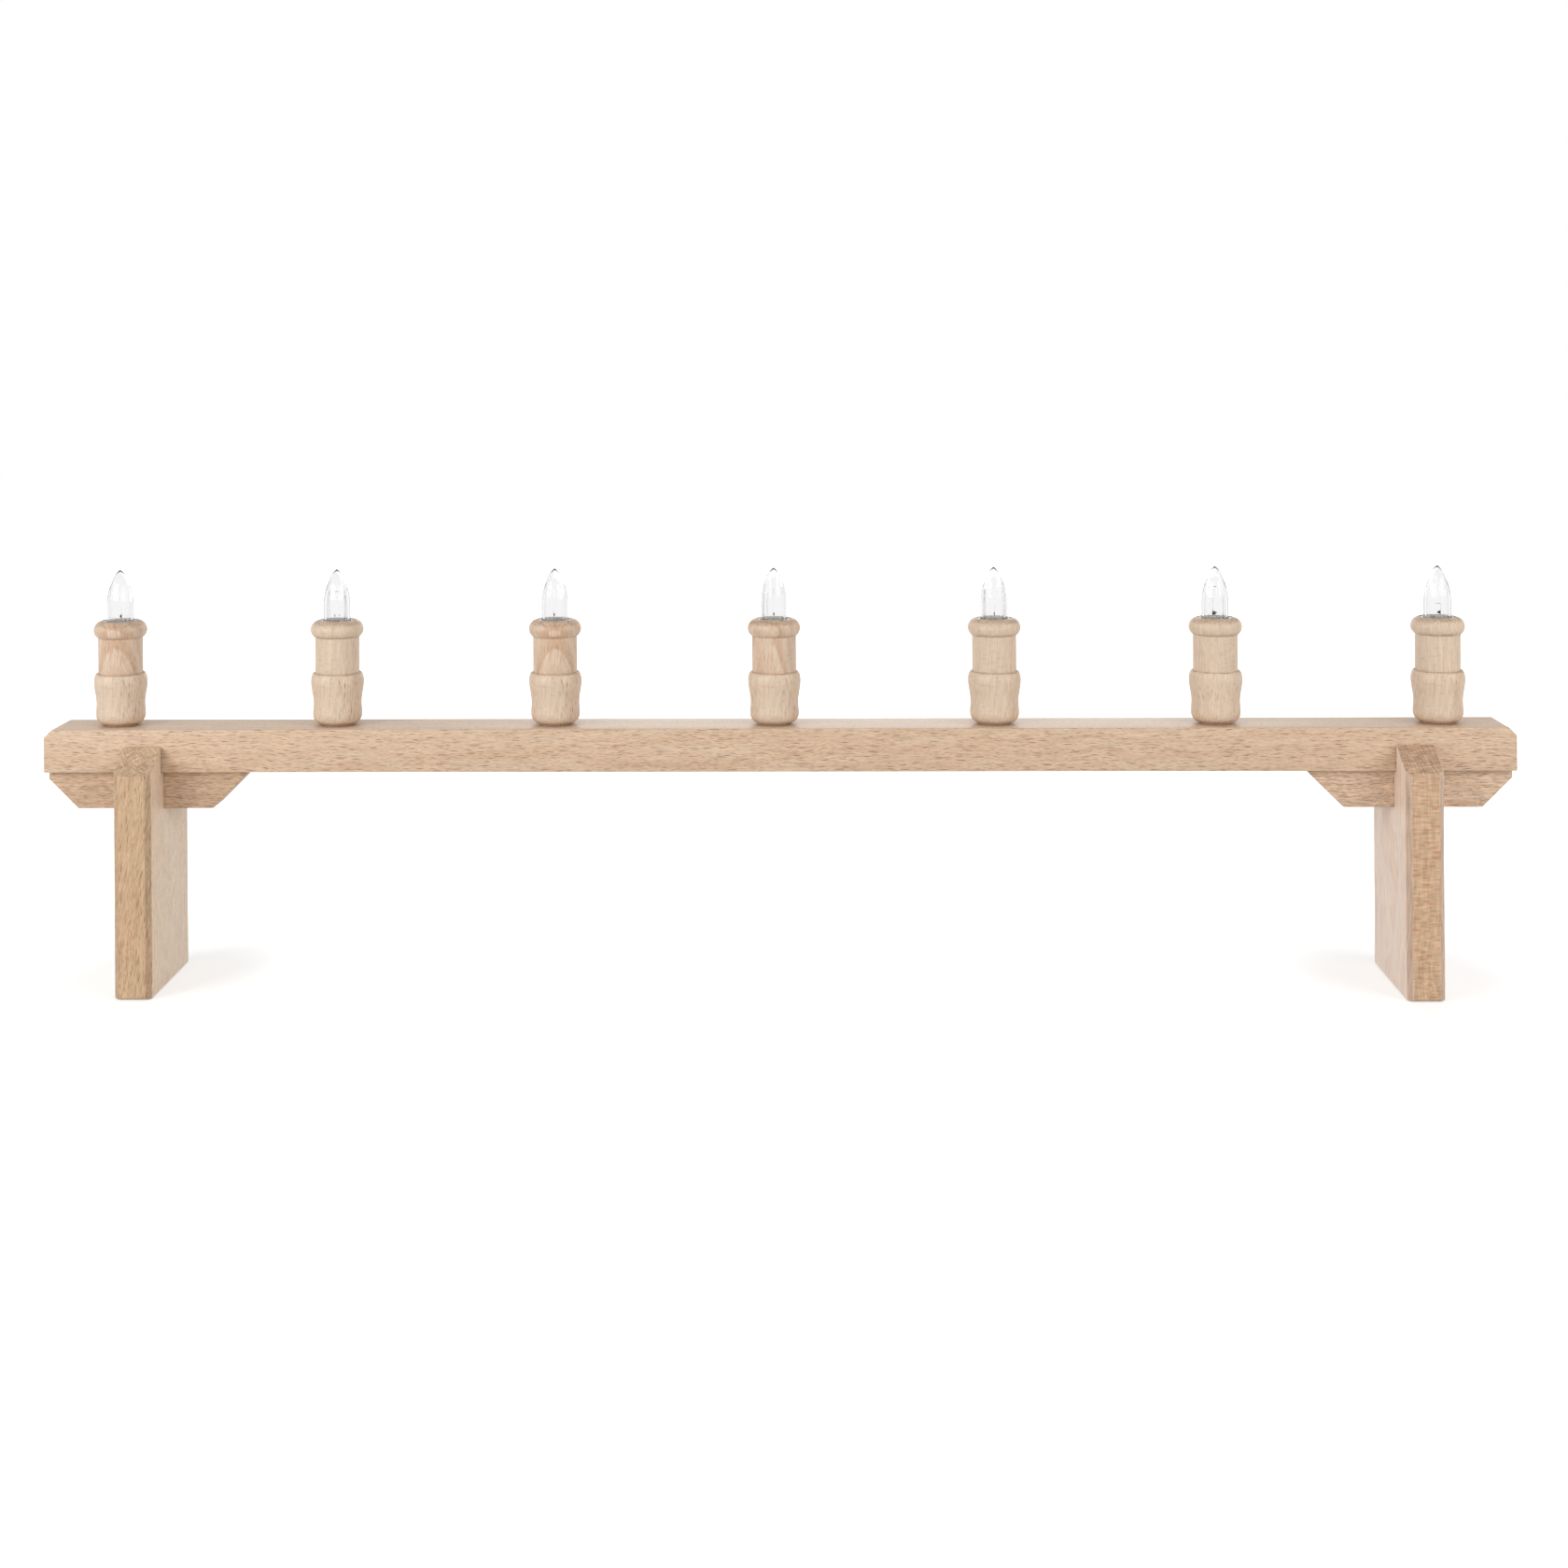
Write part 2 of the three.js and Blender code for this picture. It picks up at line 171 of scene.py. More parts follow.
def startMaterial(name, **constants):
    material = bpy.data.materials.new(name)
    material.use_nodes = True
    tree = material.node_tree
    shader = tree.nodes["Principled BSDF"]
    for title, value in constants.items():
        shader.inputs[title.replace("_", " ")].default_value = value
    return material, tree, shader


# Beech. The group's axes are the timber's own: X from the pith outwards, Y along the
# rings, Z along the grain. A ray is a thin upright sheet, so it shows as a short dark
# fleck on a face along the rings and as a wide patch on a face square to them.

beechRays = {
    "long": {"spacing": (9.0, 0.95, 5.4), "reach": (8.0, 0.22, 2.8), "start": (0.0, 0.0, 0.0)},
    "fine": {"spacing": (6.0, 0.66, 3.2), "reach": (5.0, 0.18, 1.8), "start": (31.7, 12.3, 5.9)},
    "flake": {"spacing": (4.2, 1.5, 2.2), "reach": (3.4, 1.1, 0.95), "start": (7.1, 3.3, 17.9)},
}
# How many times each pattern repeats in a millimetre along the timber's axes.
beechPatterns = {
    "fibres": {"pace": (1.15, 1.15, 0.1), "detail": 3.0},
    "bands": {"pace": (0.28, 0.4, 0.012), "detail": 2.0},
    "pores": {"pace": (0.13, 2.6, 1.15), "detail": 2.0},
    "lines": {"pace": (1.5, 1.5, 0.02), "detail": 2.0},
}
beechWander = {
    "driftPace": 0.022,
    "driftReach": (1.0, 0.8, 0.0),
    "wavePace": (0.13, 0.13, 0.04),
    "waveReach": (0.8, 0.7, 0.0),
}
beechHatch = {"pace": 1.15, "along": 0.08, "contrast": 1.3}
chamferLook = {"darkening": 0.5, "contrast": 0.9}


def addRays(tree, place, settings):
    spacing = Vector(settings["spacing"])
    reach = Vector(settings["reach"])
    cells = vectorMaths(tree, "DIVIDE", place, spacing)
    cells = vectorMaths(tree, "ADD", cells, settings["start"])
    voronoi = addNode(tree, "ShaderNodeTexVoronoi", voronoi_dimensions="3D", feature="F1")
    feed(tree, voronoi.inputs["Vector"], cells)
    voronoi.inputs["Scale"].default_value = 1.0
    offset = vectorMaths(tree, "SUBTRACT", cells, voronoi.outputs["Position"])
    stretch = Vector(s / r for s, r in zip(spacing, reach))
    away = vectorMaths(tree, "LENGTH", vectorMaths(tree, "MULTIPLY", offset, stretch))
    chance = addNode(tree, "ShaderNodeSeparateColor")
    feed(tree, chance.inputs[0], voronoi.outputs["Color"])
    size = maths(tree, "MULTIPLY_ADD", chance.outputs["Red"], 0.8, 0.45)
    shape = fade(tree, maths(tree, "DIVIDE", away, size), 1.0, 0.2)
    strength = maths(tree, "MULTIPLY_ADD", chance.outputs["Green"], 0.8, 0.2)
    return maths(tree, "MULTIPLY", shape, strength)


def makeBeechGroup():
    tree, given, result = startGroup("beechGrain", {
        "Vector": "Vector", "Normal": "Vector", "Pale Color": "Color", "Warm Color": "Color",
        "Side Color": "Color", "Ring Color": "Color", "Ray Color": "Color", "End Color": "Color",
        "Pith Distance": "Float", "Drift": "Float", "Ring Start": "Float",
        "Ring Width": "Float", "Ring Amount": "Float",
        "Patch Amount": "Float", "Side Amount": "Float", "Fleck Amount": "Float",
        "Flake Amount": "Float", "Streak Amount": "Float", "Ripple Amount": "Float",
        "Hatch Slant": "Float", "Chamfer Amount": "Float",
    }, {"Color": "Color", "Roughness": "Float", "Height": "Float"})
    even = (0.5, 0.5, 0.5)
    inMm = vectorMaths(tree, "SCALE", given["Vector"], 1 / mm)
    drift = noise(tree, inMm, beechWander["driftPace"], 1.0, "Color")
    drift = vectorMaths(tree, "SUBTRACT", drift, even)
    waveSpace = vectorMaths(tree, "MULTIPLY", inMm, beechWander["wavePace"])
    wave = vectorMaths(tree, "SUBTRACT", noise(tree, waveSpace, output="Color"), even)
    drift = vectorMaths(tree, "SCALE", drift, given["Drift"])
    drift = vectorMaths(tree, "MULTIPLY", drift, beechWander["driftReach"])
    wave = vectorMaths(tree, "MULTIPLY", wave, beechWander["waveReach"])
    place = vectorMaths(tree, "ADD", vectorMaths(tree, "ADD", inMm, drift), wave)
    radial, tangential = split(tree, place)[:2]

    fromPith = maths(tree, "ADD", radial, given["Pith Distance"])
    reach = vectorMaths(tree, "LENGTH", joined(tree, fromPith, tangential, 0.0))
    reach = maths(tree, "SUBTRACT", reach, given["Pith Distance"])
    reach = maths(tree, "ADD", reach, given["Ring Start"])
    count = maths(tree, "DIVIDE", reach, given["Ring Width"])
    share = maths(tree, "FRACT", count)
    late = maths(tree, "MULTIPLY", fade(tree, share, 0.25, 0.9), fade(tree, share, 1.0, 0.93))
    lot = addNode(tree, "ShaderNodeTexWhiteNoise", noise_dimensions="1D")
    feed(tree, lot.inputs["W"], maths(tree, "FLOOR", count))
    late = maths(tree, "MULTIPLY", late, maths(tree, "MULTIPLY_ADD", lot.outputs["Value"], 0.7, 0.3))

    facing = [maths(tree, "ABSOLUTE", axis) for axis in split(tree, given["Normal"])]
    faceAlongRings = fade(tree, facing[0], 0.25, 0.9)
    chamfer = fade(tree, maths(tree, "MINIMUM", facing[0], facing[1]), 0.45, 0.66)
    chamfer = maths(tree, "MULTIPLY", chamfer, given["Chamfer Amount"])
    endGrain = fade(tree, facing[2], 0.45, 0.8)

    long = addRays(tree, place, beechRays["long"])
    fine = addRays(tree, place, beechRays["fine"])
    flake = addRays(tree, place, beechRays["flake"])
    flecks = maths(tree, "MAXIMUM", long, maths(tree, "MULTIPLY", fine, 0.7))
    rays = addNode(tree, "ShaderNodeMix", data_type="FLOAT")
    feed(tree, rays.inputs[0], faceAlongRings)
    feed(tree, rays.inputs[2], maths(tree, "MULTIPLY", flake, given["Flake Amount"]))
    feed(tree, rays.inputs[3], maths(tree, "MULTIPLY", flecks, given["Fleck Amount"]))
    rays = rays.outputs[0]

    patterns = {}
    for name, settings in beechPatterns.items():
        space = vectorMaths(tree, "MULTIPLY", place, settings["pace"])
        patterns[name] = noise(tree, space, detail=settings["detail"])
    fibres = patterns["fibres"]
    slant = given["Hatch Slant"]
    rise = maths(tree, "MULTIPLY_ADD", tangential, slant, radial)
    fallAway = maths(tree, "SUBTRACT", maths(tree, "MULTIPLY", radial, slant), tangential)
    hatch = 0.0
    for quick, slow in ((rise, fallAway), (fallAway, rise)):
        slow = maths(tree, "MULTIPLY", slow, beechHatch["along"])
        hatchSpace = joined(tree, quick, slow, 0.0)
        hatch = maths(tree, "ADD", noise(tree, hatchSpace, beechHatch["pace"]), hatch)
    hatch = maths(tree, "SUBTRACT", hatch, 0.5)

    patch = fade(tree, patterns["bands"], 0.35, 0.68)
    patch = maths(tree, "MULTIPLY", patch, given["Patch Amount"])
    shade = mixColours(tree, patch, given["Pale Color"], given["Warm Color"])
    # Faces across the rings take the Side Color: this is the timber's own face tone, and on the legs
    # it is partly painted sheen.
    across = maths(tree, "SUBTRACT", 1.0, faceAlongRings)
    side = maths(tree, "MULTIPLY", across, given["Side Amount"])
    shade = mixColours(tree, side, shade, given["Side Color"])
    planed = maths(tree, "MULTIPLY", chamfer, chamferLook["darkening"])
    shade = mixColours(tree, planed, shade, given["Side Color"], "DARKEN")
    ringMask = maths(tree, "MULTIPLY", late, given["Ring Amount"])
    shade = mixColours(tree, ringMask, shade, given["Ring Color"])
    lift = maths(tree, "MULTIPLY_ADD", maths(tree, "SUBTRACT", fibres, 0.5),
                 given["Streak Amount"], 1.0)
    for pattern, mask, amount in (
        (patterns["pores"], across, given["Ripple Amount"]),
        (hatch, endGrain, beechHatch["contrast"]),
        (patterns["lines"], chamfer, chamferLook["contrast"]),
    ):
        change = maths(tree, "MULTIPLY", maths(tree, "SUBTRACT", pattern, 0.5), mask)
        lift = maths(tree, "MULTIPLY_ADD", change, amount, lift)
    shade = vectorMaths(tree, "SCALE", shade, lift)
    shade = mixColours(tree, rays, shade, given["Ray Color"])
    cut = maths(tree, "MAXIMUM", chamfer, endGrain)
    feed(tree, result["Color"], mixColours(tree, cut, shade, given["End Color"], "MULTIPLY"))

    dull = maths(tree, "MULTIPLY_ADD", fibres, 0.16, 0.36)
    feed(tree, result["Roughness"], maths(tree, "MULTIPLY_ADD", rays, -0.1, dull))
    feed(tree, result["Height"], maths(tree, "MULTIPLY_ADD", rays, -0.6, fibres))
    return tree


def makeTurningGroup():  # the faint rings that the turning chisel leaves
    tree, given, result = startGroup("turningMarks", {"Vector": "Vector", "Spacing": "Float"},
                                     {"Height": "Float"})
    height = maths(tree, "DIVIDE", split(tree, given["Vector"])[2], given["Spacing"])
    feed(tree, result["Height"], noise(tree, joined(tree, 0.0, 0.0, height)))
    return tree


beechGroup = makeBeechGroup()
turningGroup = makeTurningGroup()

plainBeech = {
    "Pale Color": colour(216, 189, 161),
    "Warm Color": colour(208, 174, 145),
    "Side Color": colour(212, 190, 168),
    "Ring Color": colour(194, 152, 116),
    "Ray Color": colour(148, 104, 70),
    "End Color": colour(231, 224, 217),
    "Pith Distance": 90.0,
    "Drift": 9.0,
    "Ring Start": 0.0,
    "Ring Width": 3.0,
    "Ring Amount": 0.3,
    "Patch Amount": 0.45,
    "Side Amount": 0.5,
    "Fleck Amount": 1.3,
    "Flake Amount": 0.2,
    "Streak Amount": 0.5,
    "Ripple Amount": 0.25,
    "Hatch Slant": 1.0,
    "Chamfer Amount": 0.5,
}


woodRelief = {"strength": 0.5, "turnedStrength": 0.35, "turnedDepth": 0.06, "turnedSpacing": 0.45}


def makeBeech(name, turn, place, grain, turned=False, relief=0.1):
    material, tree, shader = startMaterial(name, Specular_IOR_Level=0.5)
    coords = addNode(tree, "ShaderNodeTexCoord")
    timber = addNode(tree, "ShaderNodeMapping", vector_type="TEXTURE")
    facing = addNode(tree, "ShaderNodeMapping", vector_type="TEXTURE")
    feed(tree, timber.inputs["Vector"], coords.outputs["Object"])
    feed(tree, facing.inputs["Vector"], coords.outputs["Normal"])
    timber.inputs["Location"].default_value = place
    for mapping in (timber, facing):
        mapping.inputs["Rotation"].default_value = [radians(angle) for angle in turn]
    wood = addNode(tree, "ShaderNodeGroup", node_tree=beechGroup)
    feed(tree, wood.inputs["Vector"], timber.outputs[0])
    feed(tree, wood.inputs["Normal"], facing.outputs[0])
    for title, value in {**plainBeech, **grain}.items():
        wood.inputs[title].default_value = value
    feed(tree, shader.inputs["Base Color"], wood.outputs["Color"])
    feed(tree, shader.inputs["Roughness"], wood.outputs["Roughness"])
    bump = addNode(tree, "ShaderNodeBump")
    bump.inputs["Strength"].default_value = woodRelief["strength"]
    bump.inputs["Distance"].default_value = relief * mm
    feed(tree, bump.inputs["Height"], wood.outputs["Height"])
    if turned:
        marks = addNode(tree, "ShaderNodeGroup", node_tree=turningGroup)
        feed(tree, marks.inputs["Vector"], coords.outputs["Object"])
        marks.inputs["Spacing"].default_value = woodRelief["turnedSpacing"] * mm
        cuts = addNode(tree, "ShaderNodeBump")
        cuts.inputs["Strength"].default_value = woodRelief["turnedStrength"]
        cuts.inputs["Distance"].default_value = woodRelief["turnedDepth"] * mm
        feed(tree, cuts.inputs["Height"], marks.outputs["Height"])
        feed(tree, bump.inputs["Normal"], cuts.outputs["Normal"])
    feed(tree, shader.inputs["Normal"], bump.outputs["Normal"])
    return material


print("beech grain ready")


# Short forms for making pieces

def span(node):
    low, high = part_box(node)
    return Vector(low), Vector(high)


def mergedCopy(node):  # a CAD node's mesh with its flat faces whole again
    work = bmesh.new()
    work.from_mesh(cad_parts[node].data)
    bmesh.ops.remove_doubles(work, verts=work.verts, dist=0.001 * mm)
    bmesh.ops.dissolve_limit(work, angle_limit=radians(1), verts=work.verts, edges=work.edges)
    return work


def easeEdges(work, radius, segments, chosen=lambda middle: True):
    corners = []
    for edge in work.edges:
        middle = (edge.verts[0].co + edge.verts[1].co) / 2
        if edge.is_convex and edge.calc_face_angle() > radians(20) and chosen(middle):
            corners.append(edge)
    bmesh.ops.bevel(work, geom=corners, offset=radius * mm, offset_type="OFFSET",
                    segments=segments, profile=0.5, affect="EDGES", material=-1,
                    clamp_overlap=False)


def arc(centre, radii, start, end, steps):
    angles = [start + (end - start) * step / steps for step in range(steps + 1)]
    return [(centre[0] + radii[0] * cos(a), centre[1] + radii[1] * sin(a)) for a in angles]


def swell(first, last, steps):  # an S-shaped run between two points, without them
    run = []
    for step in range(1, steps):
        share = step / steps
        blend = (1 - cos(pi * share)) / 2
        run.append((first[0] + (last[0] - first[0]) * blend,
                    first[1] + (last[1] - first[1]) * share))
    return run


def turnOnAxis(work, profile, steps, closed=False):  # profile in mm: radius, height
    verts = [work.verts.new((radius * mm, 0, height * mm)) for radius, height in profile]
    ends = verts[1:] + verts[:1] if closed else verts[1:]
    edges = [work.edges.new(pair) for pair in zip(verts, ends)]
    before = set(work.verts)
    bmesh.ops.spin(work, geom=verts + edges, cent=(0, 0, 0), axis=(0, 0, 1), angle=2 * pi,
                   steps=steps, use_merge=True, use_duplicate=False)
    return verts + [vert for vert in work.verts if vert not in before]


def tidyShell(work):
    bmesh.ops.remove_doubles(work, verts=work.verts, dist=0.0005 * mm)
    bmesh.ops.recalc_face_normals(work, faces=work.faces)


def turnedShell(profile, steps, foot, closed=False):  # foot is where the profile's zero goes
    work = bmesh.new()
    turnOnAxis(work, profile, steps, closed)
    tidyShell(work)
    bmesh.ops.translate(work, verts=work.verts, vec=foot)
    return work


def addTube(work, route, radius, sides):  # route in metres
    rings = []
    for step, point in enumerate(route):
        ahead = Vector(route[min(step + 1, len(route) - 1)])
        behind = Vector(route[max(step - 1, 0)])
        turn = (ahead - behind).to_track_quat("Z", "Y").to_matrix().to_4x4()
        ring = bmesh.ops.create_circle(work, segments=sides, radius=radius,
                                       matrix=Matrix.Translation(point) @ turn)["verts"]
        rings.append(ring)
    for first, second in zip(rings, rings[1:]):
        edges = [e for ring in (first, second) for e in {e for v in ring for e in v.link_edges}
                 if all(v in ring for v in e.verts)]
        bmesh.ops.bridge_loops(work, edges=edges)
    for ring in (rings[0], rings[-1]):
        work.faces.new(ring)


def addPiece(work, name, body, replaced, material, sharp=28):
    for face in work.faces:
        face.smooth = True
    for edge in work.edges:
        edge.smooth = not edge.is_manifold or edge.calc_face_angle() < radians(sharp)
    mesh = bpy.data.meshes.new(name)
    work.to_mesh(mesh)
    work.free()
    mesh.materials.append(material)
    piece = bpy.data.objects.new(name, mesh)
    bpy.context.scene.collection.objects.link(piece)
    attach(piece, body)
    if replaced:
        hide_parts(*replaced)
    return piece


# Bar: sawn with its front along the rings

barPiece = {
    "edgeRadius": 0.45,
    "edgeSegments": 3,
    "endChamfer": 3.8,
    "timberTurn": (90, 0, 90),
    "timberPlace": (0.02, 0.004, 0.09),
    "grain": {"Pith Distance": 70.0, "Ring Width": 3.4, "Ring Amount": 0.32},
}


def makeBar(settings):
    work = mergedCopy("bar")
    low, high = span("bar")
    nearEnd = high.x - (settings["endChamfer"] + 0.1) * mm
    nearSide = high.y - 0.1 * mm
    easeEdges(work, settings["edgeRadius"], settings["edgeSegments"],
              lambda middle: abs(middle.y) > nearSide or abs(middle.x) > nearEnd)
    material = makeBeech("barBeech", settings["timberTurn"], settings["timberPlace"],
                         settings["grain"])
    addPiece(work, "bar_beech", "frame", ["bar"], material)


makeBar(barPiece)
print("bar made")


# Legs: the left one sawn along the rings, the right one square to them

# Partly painted sheen and partly the timber's own face tone: both legs' sides get paler, greyer
# colours than their fronts, as a glossy face seen at a slant looks. On the left leg this is its Side
# Color, and on the right leg its Pale and Warm Colors.
legPieces = {
    "left": {
        "timberTurn": (7, 0, 90),
        "timberPlace": (-0.31, 0.01, 0.02),
        "grain": {
            "Pale Color": colour(203, 172, 138), "Warm Color": colour(193, 158, 121),
            "Side Color": colour(229, 206, 180), "Side Amount": 0.9, "Chamfer Amount": 0.85,
            "Fleck Amount": 1.5, "Flake Amount": 0.1, "Ring Amount": 0.25, "Streak Amount": 0.8,
        },
    },
    "right": {
        "timberTurn": (0, 0, 0),
        "timberPlace": (0.29, 0.0, 0.0),
        "grain": {
            "Pale Color": colour(237, 214, 195), "Warm Color": colour(230, 205, 184),
            "Side Color": colour(197, 162, 128), "Side Amount": 0.9, "Hatch Slant": 0.1,
            "Ray Color": colour(182, 128, 86), "Fleck Amount": 0.15, "Flake Amount": 0.8,
            "Ring Amount": 0.22, "Ripple Amount": 0.95, "Chamfer Amount": 1.0,
            "Streak Amount": 0.8, "End Color": colour(240, 240, 245),
        },
    },
}
legEdge = {"radius": 0.55, "segments": 3, "from": 2.0}
legFootEdge = {"radius": 1.3, "segments": 4, "upTo": 0.1}


def makeLeg(side, settings):
    work = mergedCopy(f"{side}_leg")
    easeEdges(work, legFootEdge["radius"], legFootEdge["segments"],
              lambda middle: middle.z < legFootEdge["upTo"] * mm)
    easeEdges(work, legEdge["radius"], legEdge["segments"],
              lambda middle: middle.z > legEdge["from"] * mm)
    material = makeBeech(f"{side}LegBeech", settings["timberTurn"], settings["timberPlace"],
                         settings["grain"])
    addPiece(work, f"{side}_leg_beech", "frame", [f"{side}_leg"], material)


for side, settings in legPieces.items():
    makeLeg(side, settings)
print("legs made")


# Brackets and the strip that closes the groove

bracketPiece = {
    "edgeRadius": 0.35,
    "edgeSegments": 2,
    "timberTurn": (90, 0, 90),
    "timberPlaces": {"left": (-0.1, 0.03, 0.02), "right": (0.2, -0.05, 0.04)},
    "grain": {
        "left": {"Pale Color": colour(208, 178, 149), "Warm Color": colour(199, 166, 135)},
        "right": {"Pale Color": colour(221, 193, 167), "Warm Color": colour(213, 182, 153)},
    },
    "flecks": {"Fleck Amount": 1.6, "Streak Amount": 1.1},
}
coverPiece = {
    "edgeRadius": 0.25,
    "edgeSegments": 2,
    "timberTurn": (90, 0, 90),
    "timberPlace": (0.1, 0.1, 0.1),
    "grain": {"Fleck Amount": 0.6},
}


def makeBracket(side, settings):
    work = mergedCopy(f"{side}_bracket")
    easeEdges(work, settings["edgeRadius"], settings["edgeSegments"])
    material = makeBeech(f"{side}BracketBeech", settings["timberTurn"],
                         settings["timberPlaces"][side],
                         settings["grain"][side] | settings["flecks"])
    addPiece(work, f"{side}_bracket_beech", "frame", [f"{side}_bracket"],
             material)


def makeCover(settings):
    work = mergedCopy("groove_cover")
    easeEdges(work, settings["edgeRadius"], settings["edgeSegments"])
    material = makeBeech("coverBeech", settings["timberTurn"], settings["timberPlace"],
                         settings["grain"])
    addPiece(work, "groove_cover_beech", "frame", ["groove_cover"], material)


for side in bracketPiece["grain"]:
    makeBracket(side, bracketPiece)
makeCover(coverPiece)
print("brackets and cover made")


# Candles: a turned cup with a turned sleeve in it. Each has its own timber.

cupPiece = {
    "steps": 96,
    "bulgeHeight": 5.3,
    "baseNarrowing": 4.4,
    "bulge": 0.3,
    "waistRise": 5.3,
    "waistDip": 1.18,
    "bellyRise": 10.4,
    "lipRounding": 1.57,
    "lipWall": 0.35,
    "lipEase": 0.1,
    "socketDepth": 9.0,
    "seatWidth": 0.4,
    "seatLift": 0.55,
    "wireBore": 3.1,
    "roundSteps": 12,
    "bulgeSteps": 8,
    "bellySteps": 14,
}
sleevePiece = {
    "steps": 96,
    "rimRadius": 4.5,
    "rimInset": 0.15,
    "wall": 2.3,
    "wireBore": 5.3,
    "footEase": 0.3,
    "rimSteps": 28,
}
# For each candle: how far the timber's outward direction is turned from the right-hand
# side, how much its grain leans, where its rings start in mm, how strongly the rings and
# the flecks show, and its warmth from 0 to 1.
candleTimber = [
    {"cup": (-18, 4, 0.2, 0.08, 1.3, 0.3), "sleeve": (-88, 13, 2.5, 0.75, 0.8, 0.75)},
    {"cup": (-25, 6, 1.0, 0.08, 1.3, 0.35), "sleeve": (-20, 3, 0.0, 0.1, 0.4, 0.25)},
    {"cup": (-20, 5, 2.1, 0.1, 1.3, 0.4), "sleeve": (-84, 13, 2.3, 0.75, 0.6, 0.75)},
    {"cup": (-12, 3, 0.7, 0.1, 1.2, 0.3), "sleeve": (-120, 9, 1.2, 0.8, 0.6, 0.75)},
    {"cup": (-20, 6, 1.7, 0.1, 0.6, 0.35), "sleeve": (-10, 2, 1.5, 0.1, 0.4, 0.3)},
    {"cup": (-120, -6, 0.5, 0.1, 0.6, 0.3), "sleeve": (-160, 4, 0.9, 0.1, 0.4, 0.3)},
    {"cup": (-25, 5, 2.6, 0.25, 0.8, 0.4), "sleeve": (-35, -4, 2.0, 0.1, 0.5, 0.3)},
]
turnedGrain = {
    "Pith Distance": 45.0, "Ring Width": 4.2, "Drift": 1.5, "Flake Amount": 0.2,
    "Patch Amount": 0.3, "Streak Amount": 0.5, "Ripple Amount": 0.0, "Chamfer Amount": 0.0,
    "Ray Color": colour(150, 96, 66),
}
paleTurned = {"Pale Color": colour(224, 203, 179), "Warm Color": colour(216, 189, 162)}
warmTurned = {"Pale Color": colour(217, 191, 167), "Warm Color": colour(211, 179, 152)}


def candleCentre(number, height=0.0):
    low, high = span(f"candle_{number}_cup")
    middle = (low + high) / 2
    return Vector((middle.x, middle.y, height))


def turnedBeech(name, number, timber):
    azimuth, lean, start, ringAmount, fleckAmount, warmth = timber
    grain = turnedGrain | {"Ring Start": start, "Ring Amount": ringAmount,
                           "Fleck Amount": fleckAmount}
    for title in paleTurned:
        pale = Vector(paleTurned[title])
        grain[title] = pale.lerp(Vector(warmTurned[title]), warmth)
    place = candleCentre(number, span("bar")[1].z)
    return makeBeech(name, (0, lean, azimuth), place, grain, turned=True, relief=0.07)


def makeCup(number, settings, timber):
    low, high = span(f"candle_{number}_cup")
    barTop = span("bar")[1].z
    belly = (high.x - low.x) / 2 / mm
    height = (high.z - barTop) / mm
    tenonEnd = (low.z - barTop) / mm
    waist = belly - settings["waistDip"]
    bulge = waist + settings["bulge"]
    base = bulge - settings["baseNarrowing"]
    tenon = base - settings["seatWidth"]
    bulgeHeight = settings["bulgeHeight"]
    waistHeight = bulgeHeight + settings["waistRise"]
    bellyHeight = waistHeight + settings["bellyRise"]
    lip = belly - settings["lipRounding"]
    socket = lip - settings["lipWall"]
    socketFloor = height - settings["socketDepth"]
    lift = settings["seatLift"]
    underside = (settings["baseNarrowing"], bulgeHeight - lift)
    rounding = (settings["lipRounding"], height - bellyHeight)
    profile = [(settings["wireBore"], tenonEnd), (tenon, tenonEnd), (tenon, lift)]
    profile += arc((base, bulgeHeight), underside, -pi / 2, 0, settings["roundSteps"])
    profile += swell((bulge, bulgeHeight), (waist, waistHeight), settings["bulgeSteps"])
    profile += [(waist, waistHeight)]
    profile += swell((waist, waistHeight), (belly, bellyHeight), settings["bellySteps"])
    profile += arc((lip, bellyHeight), rounding, 0, pi / 2, settings["roundSteps"])
    profile += [(socket, height - settings["lipEase"]), (socket, socketFloor)]
    profile += [(settings["wireBore"], socketFloor)]
    work = turnedShell(profile, settings["steps"], candleCentre(number, barTop), closed=True)
    material = turnedBeech(f"cup{number}Beech", number, timber)
    addPiece(work, f"candle_{number}_cup_beech", "frame", [f"candle_{number}_cup"],
             material)


def makeSleeve(number, settings, timber):
    low, high = span(f"candle_{number}_sleeve")
    rimRadius = settings["rimRadius"]
    rimCentre = (high.x - low.x) / 2 / mm - rimRadius
    bore = rimCentre + settings["rimInset"]
    outside = bore + settings["wall"]
    boreAngle = acos(settings["rimInset"] / rimRadius)
    sleeveAngle = -acos((outside - rimCentre) / rimRadius)
    foot = low.z / mm
    rimHeight = high.z / mm - rimRadius
    holderFoot = span(f"candle_{number}_lampholder")[0].z / mm
    ease = settings["footEase"]
    profile = [(settings["wireBore"], foot), (outside - ease, foot), (outside, foot + ease)]
    profile += arc((rimCentre, rimHeight), (rimRadius, rimRadius), sleeveAngle, boreAngle,
                   settings["rimSteps"])
    profile += [(bore, holderFoot), (settings["wireBore"], holderFoot)]
    work = turnedShell(profile, settings["steps"], candleCentre(number), closed=True)
    material = turnedBeech(f"sleeve{number}Beech", number, timber)
    addPiece(work, f"candle_{number}_sleeve_beech", "frame", [f"candle_{number}_sleeve"],
             material)


for index, timber in enumerate(candleTimber[:lampCount]):
    makeCup(index + 1, cupPiece, timber["cup"])
    makeSleeve(index + 1, sleevePiece, timber["sleeve"])
print("cups and sleeves made")


# Metal and plastic

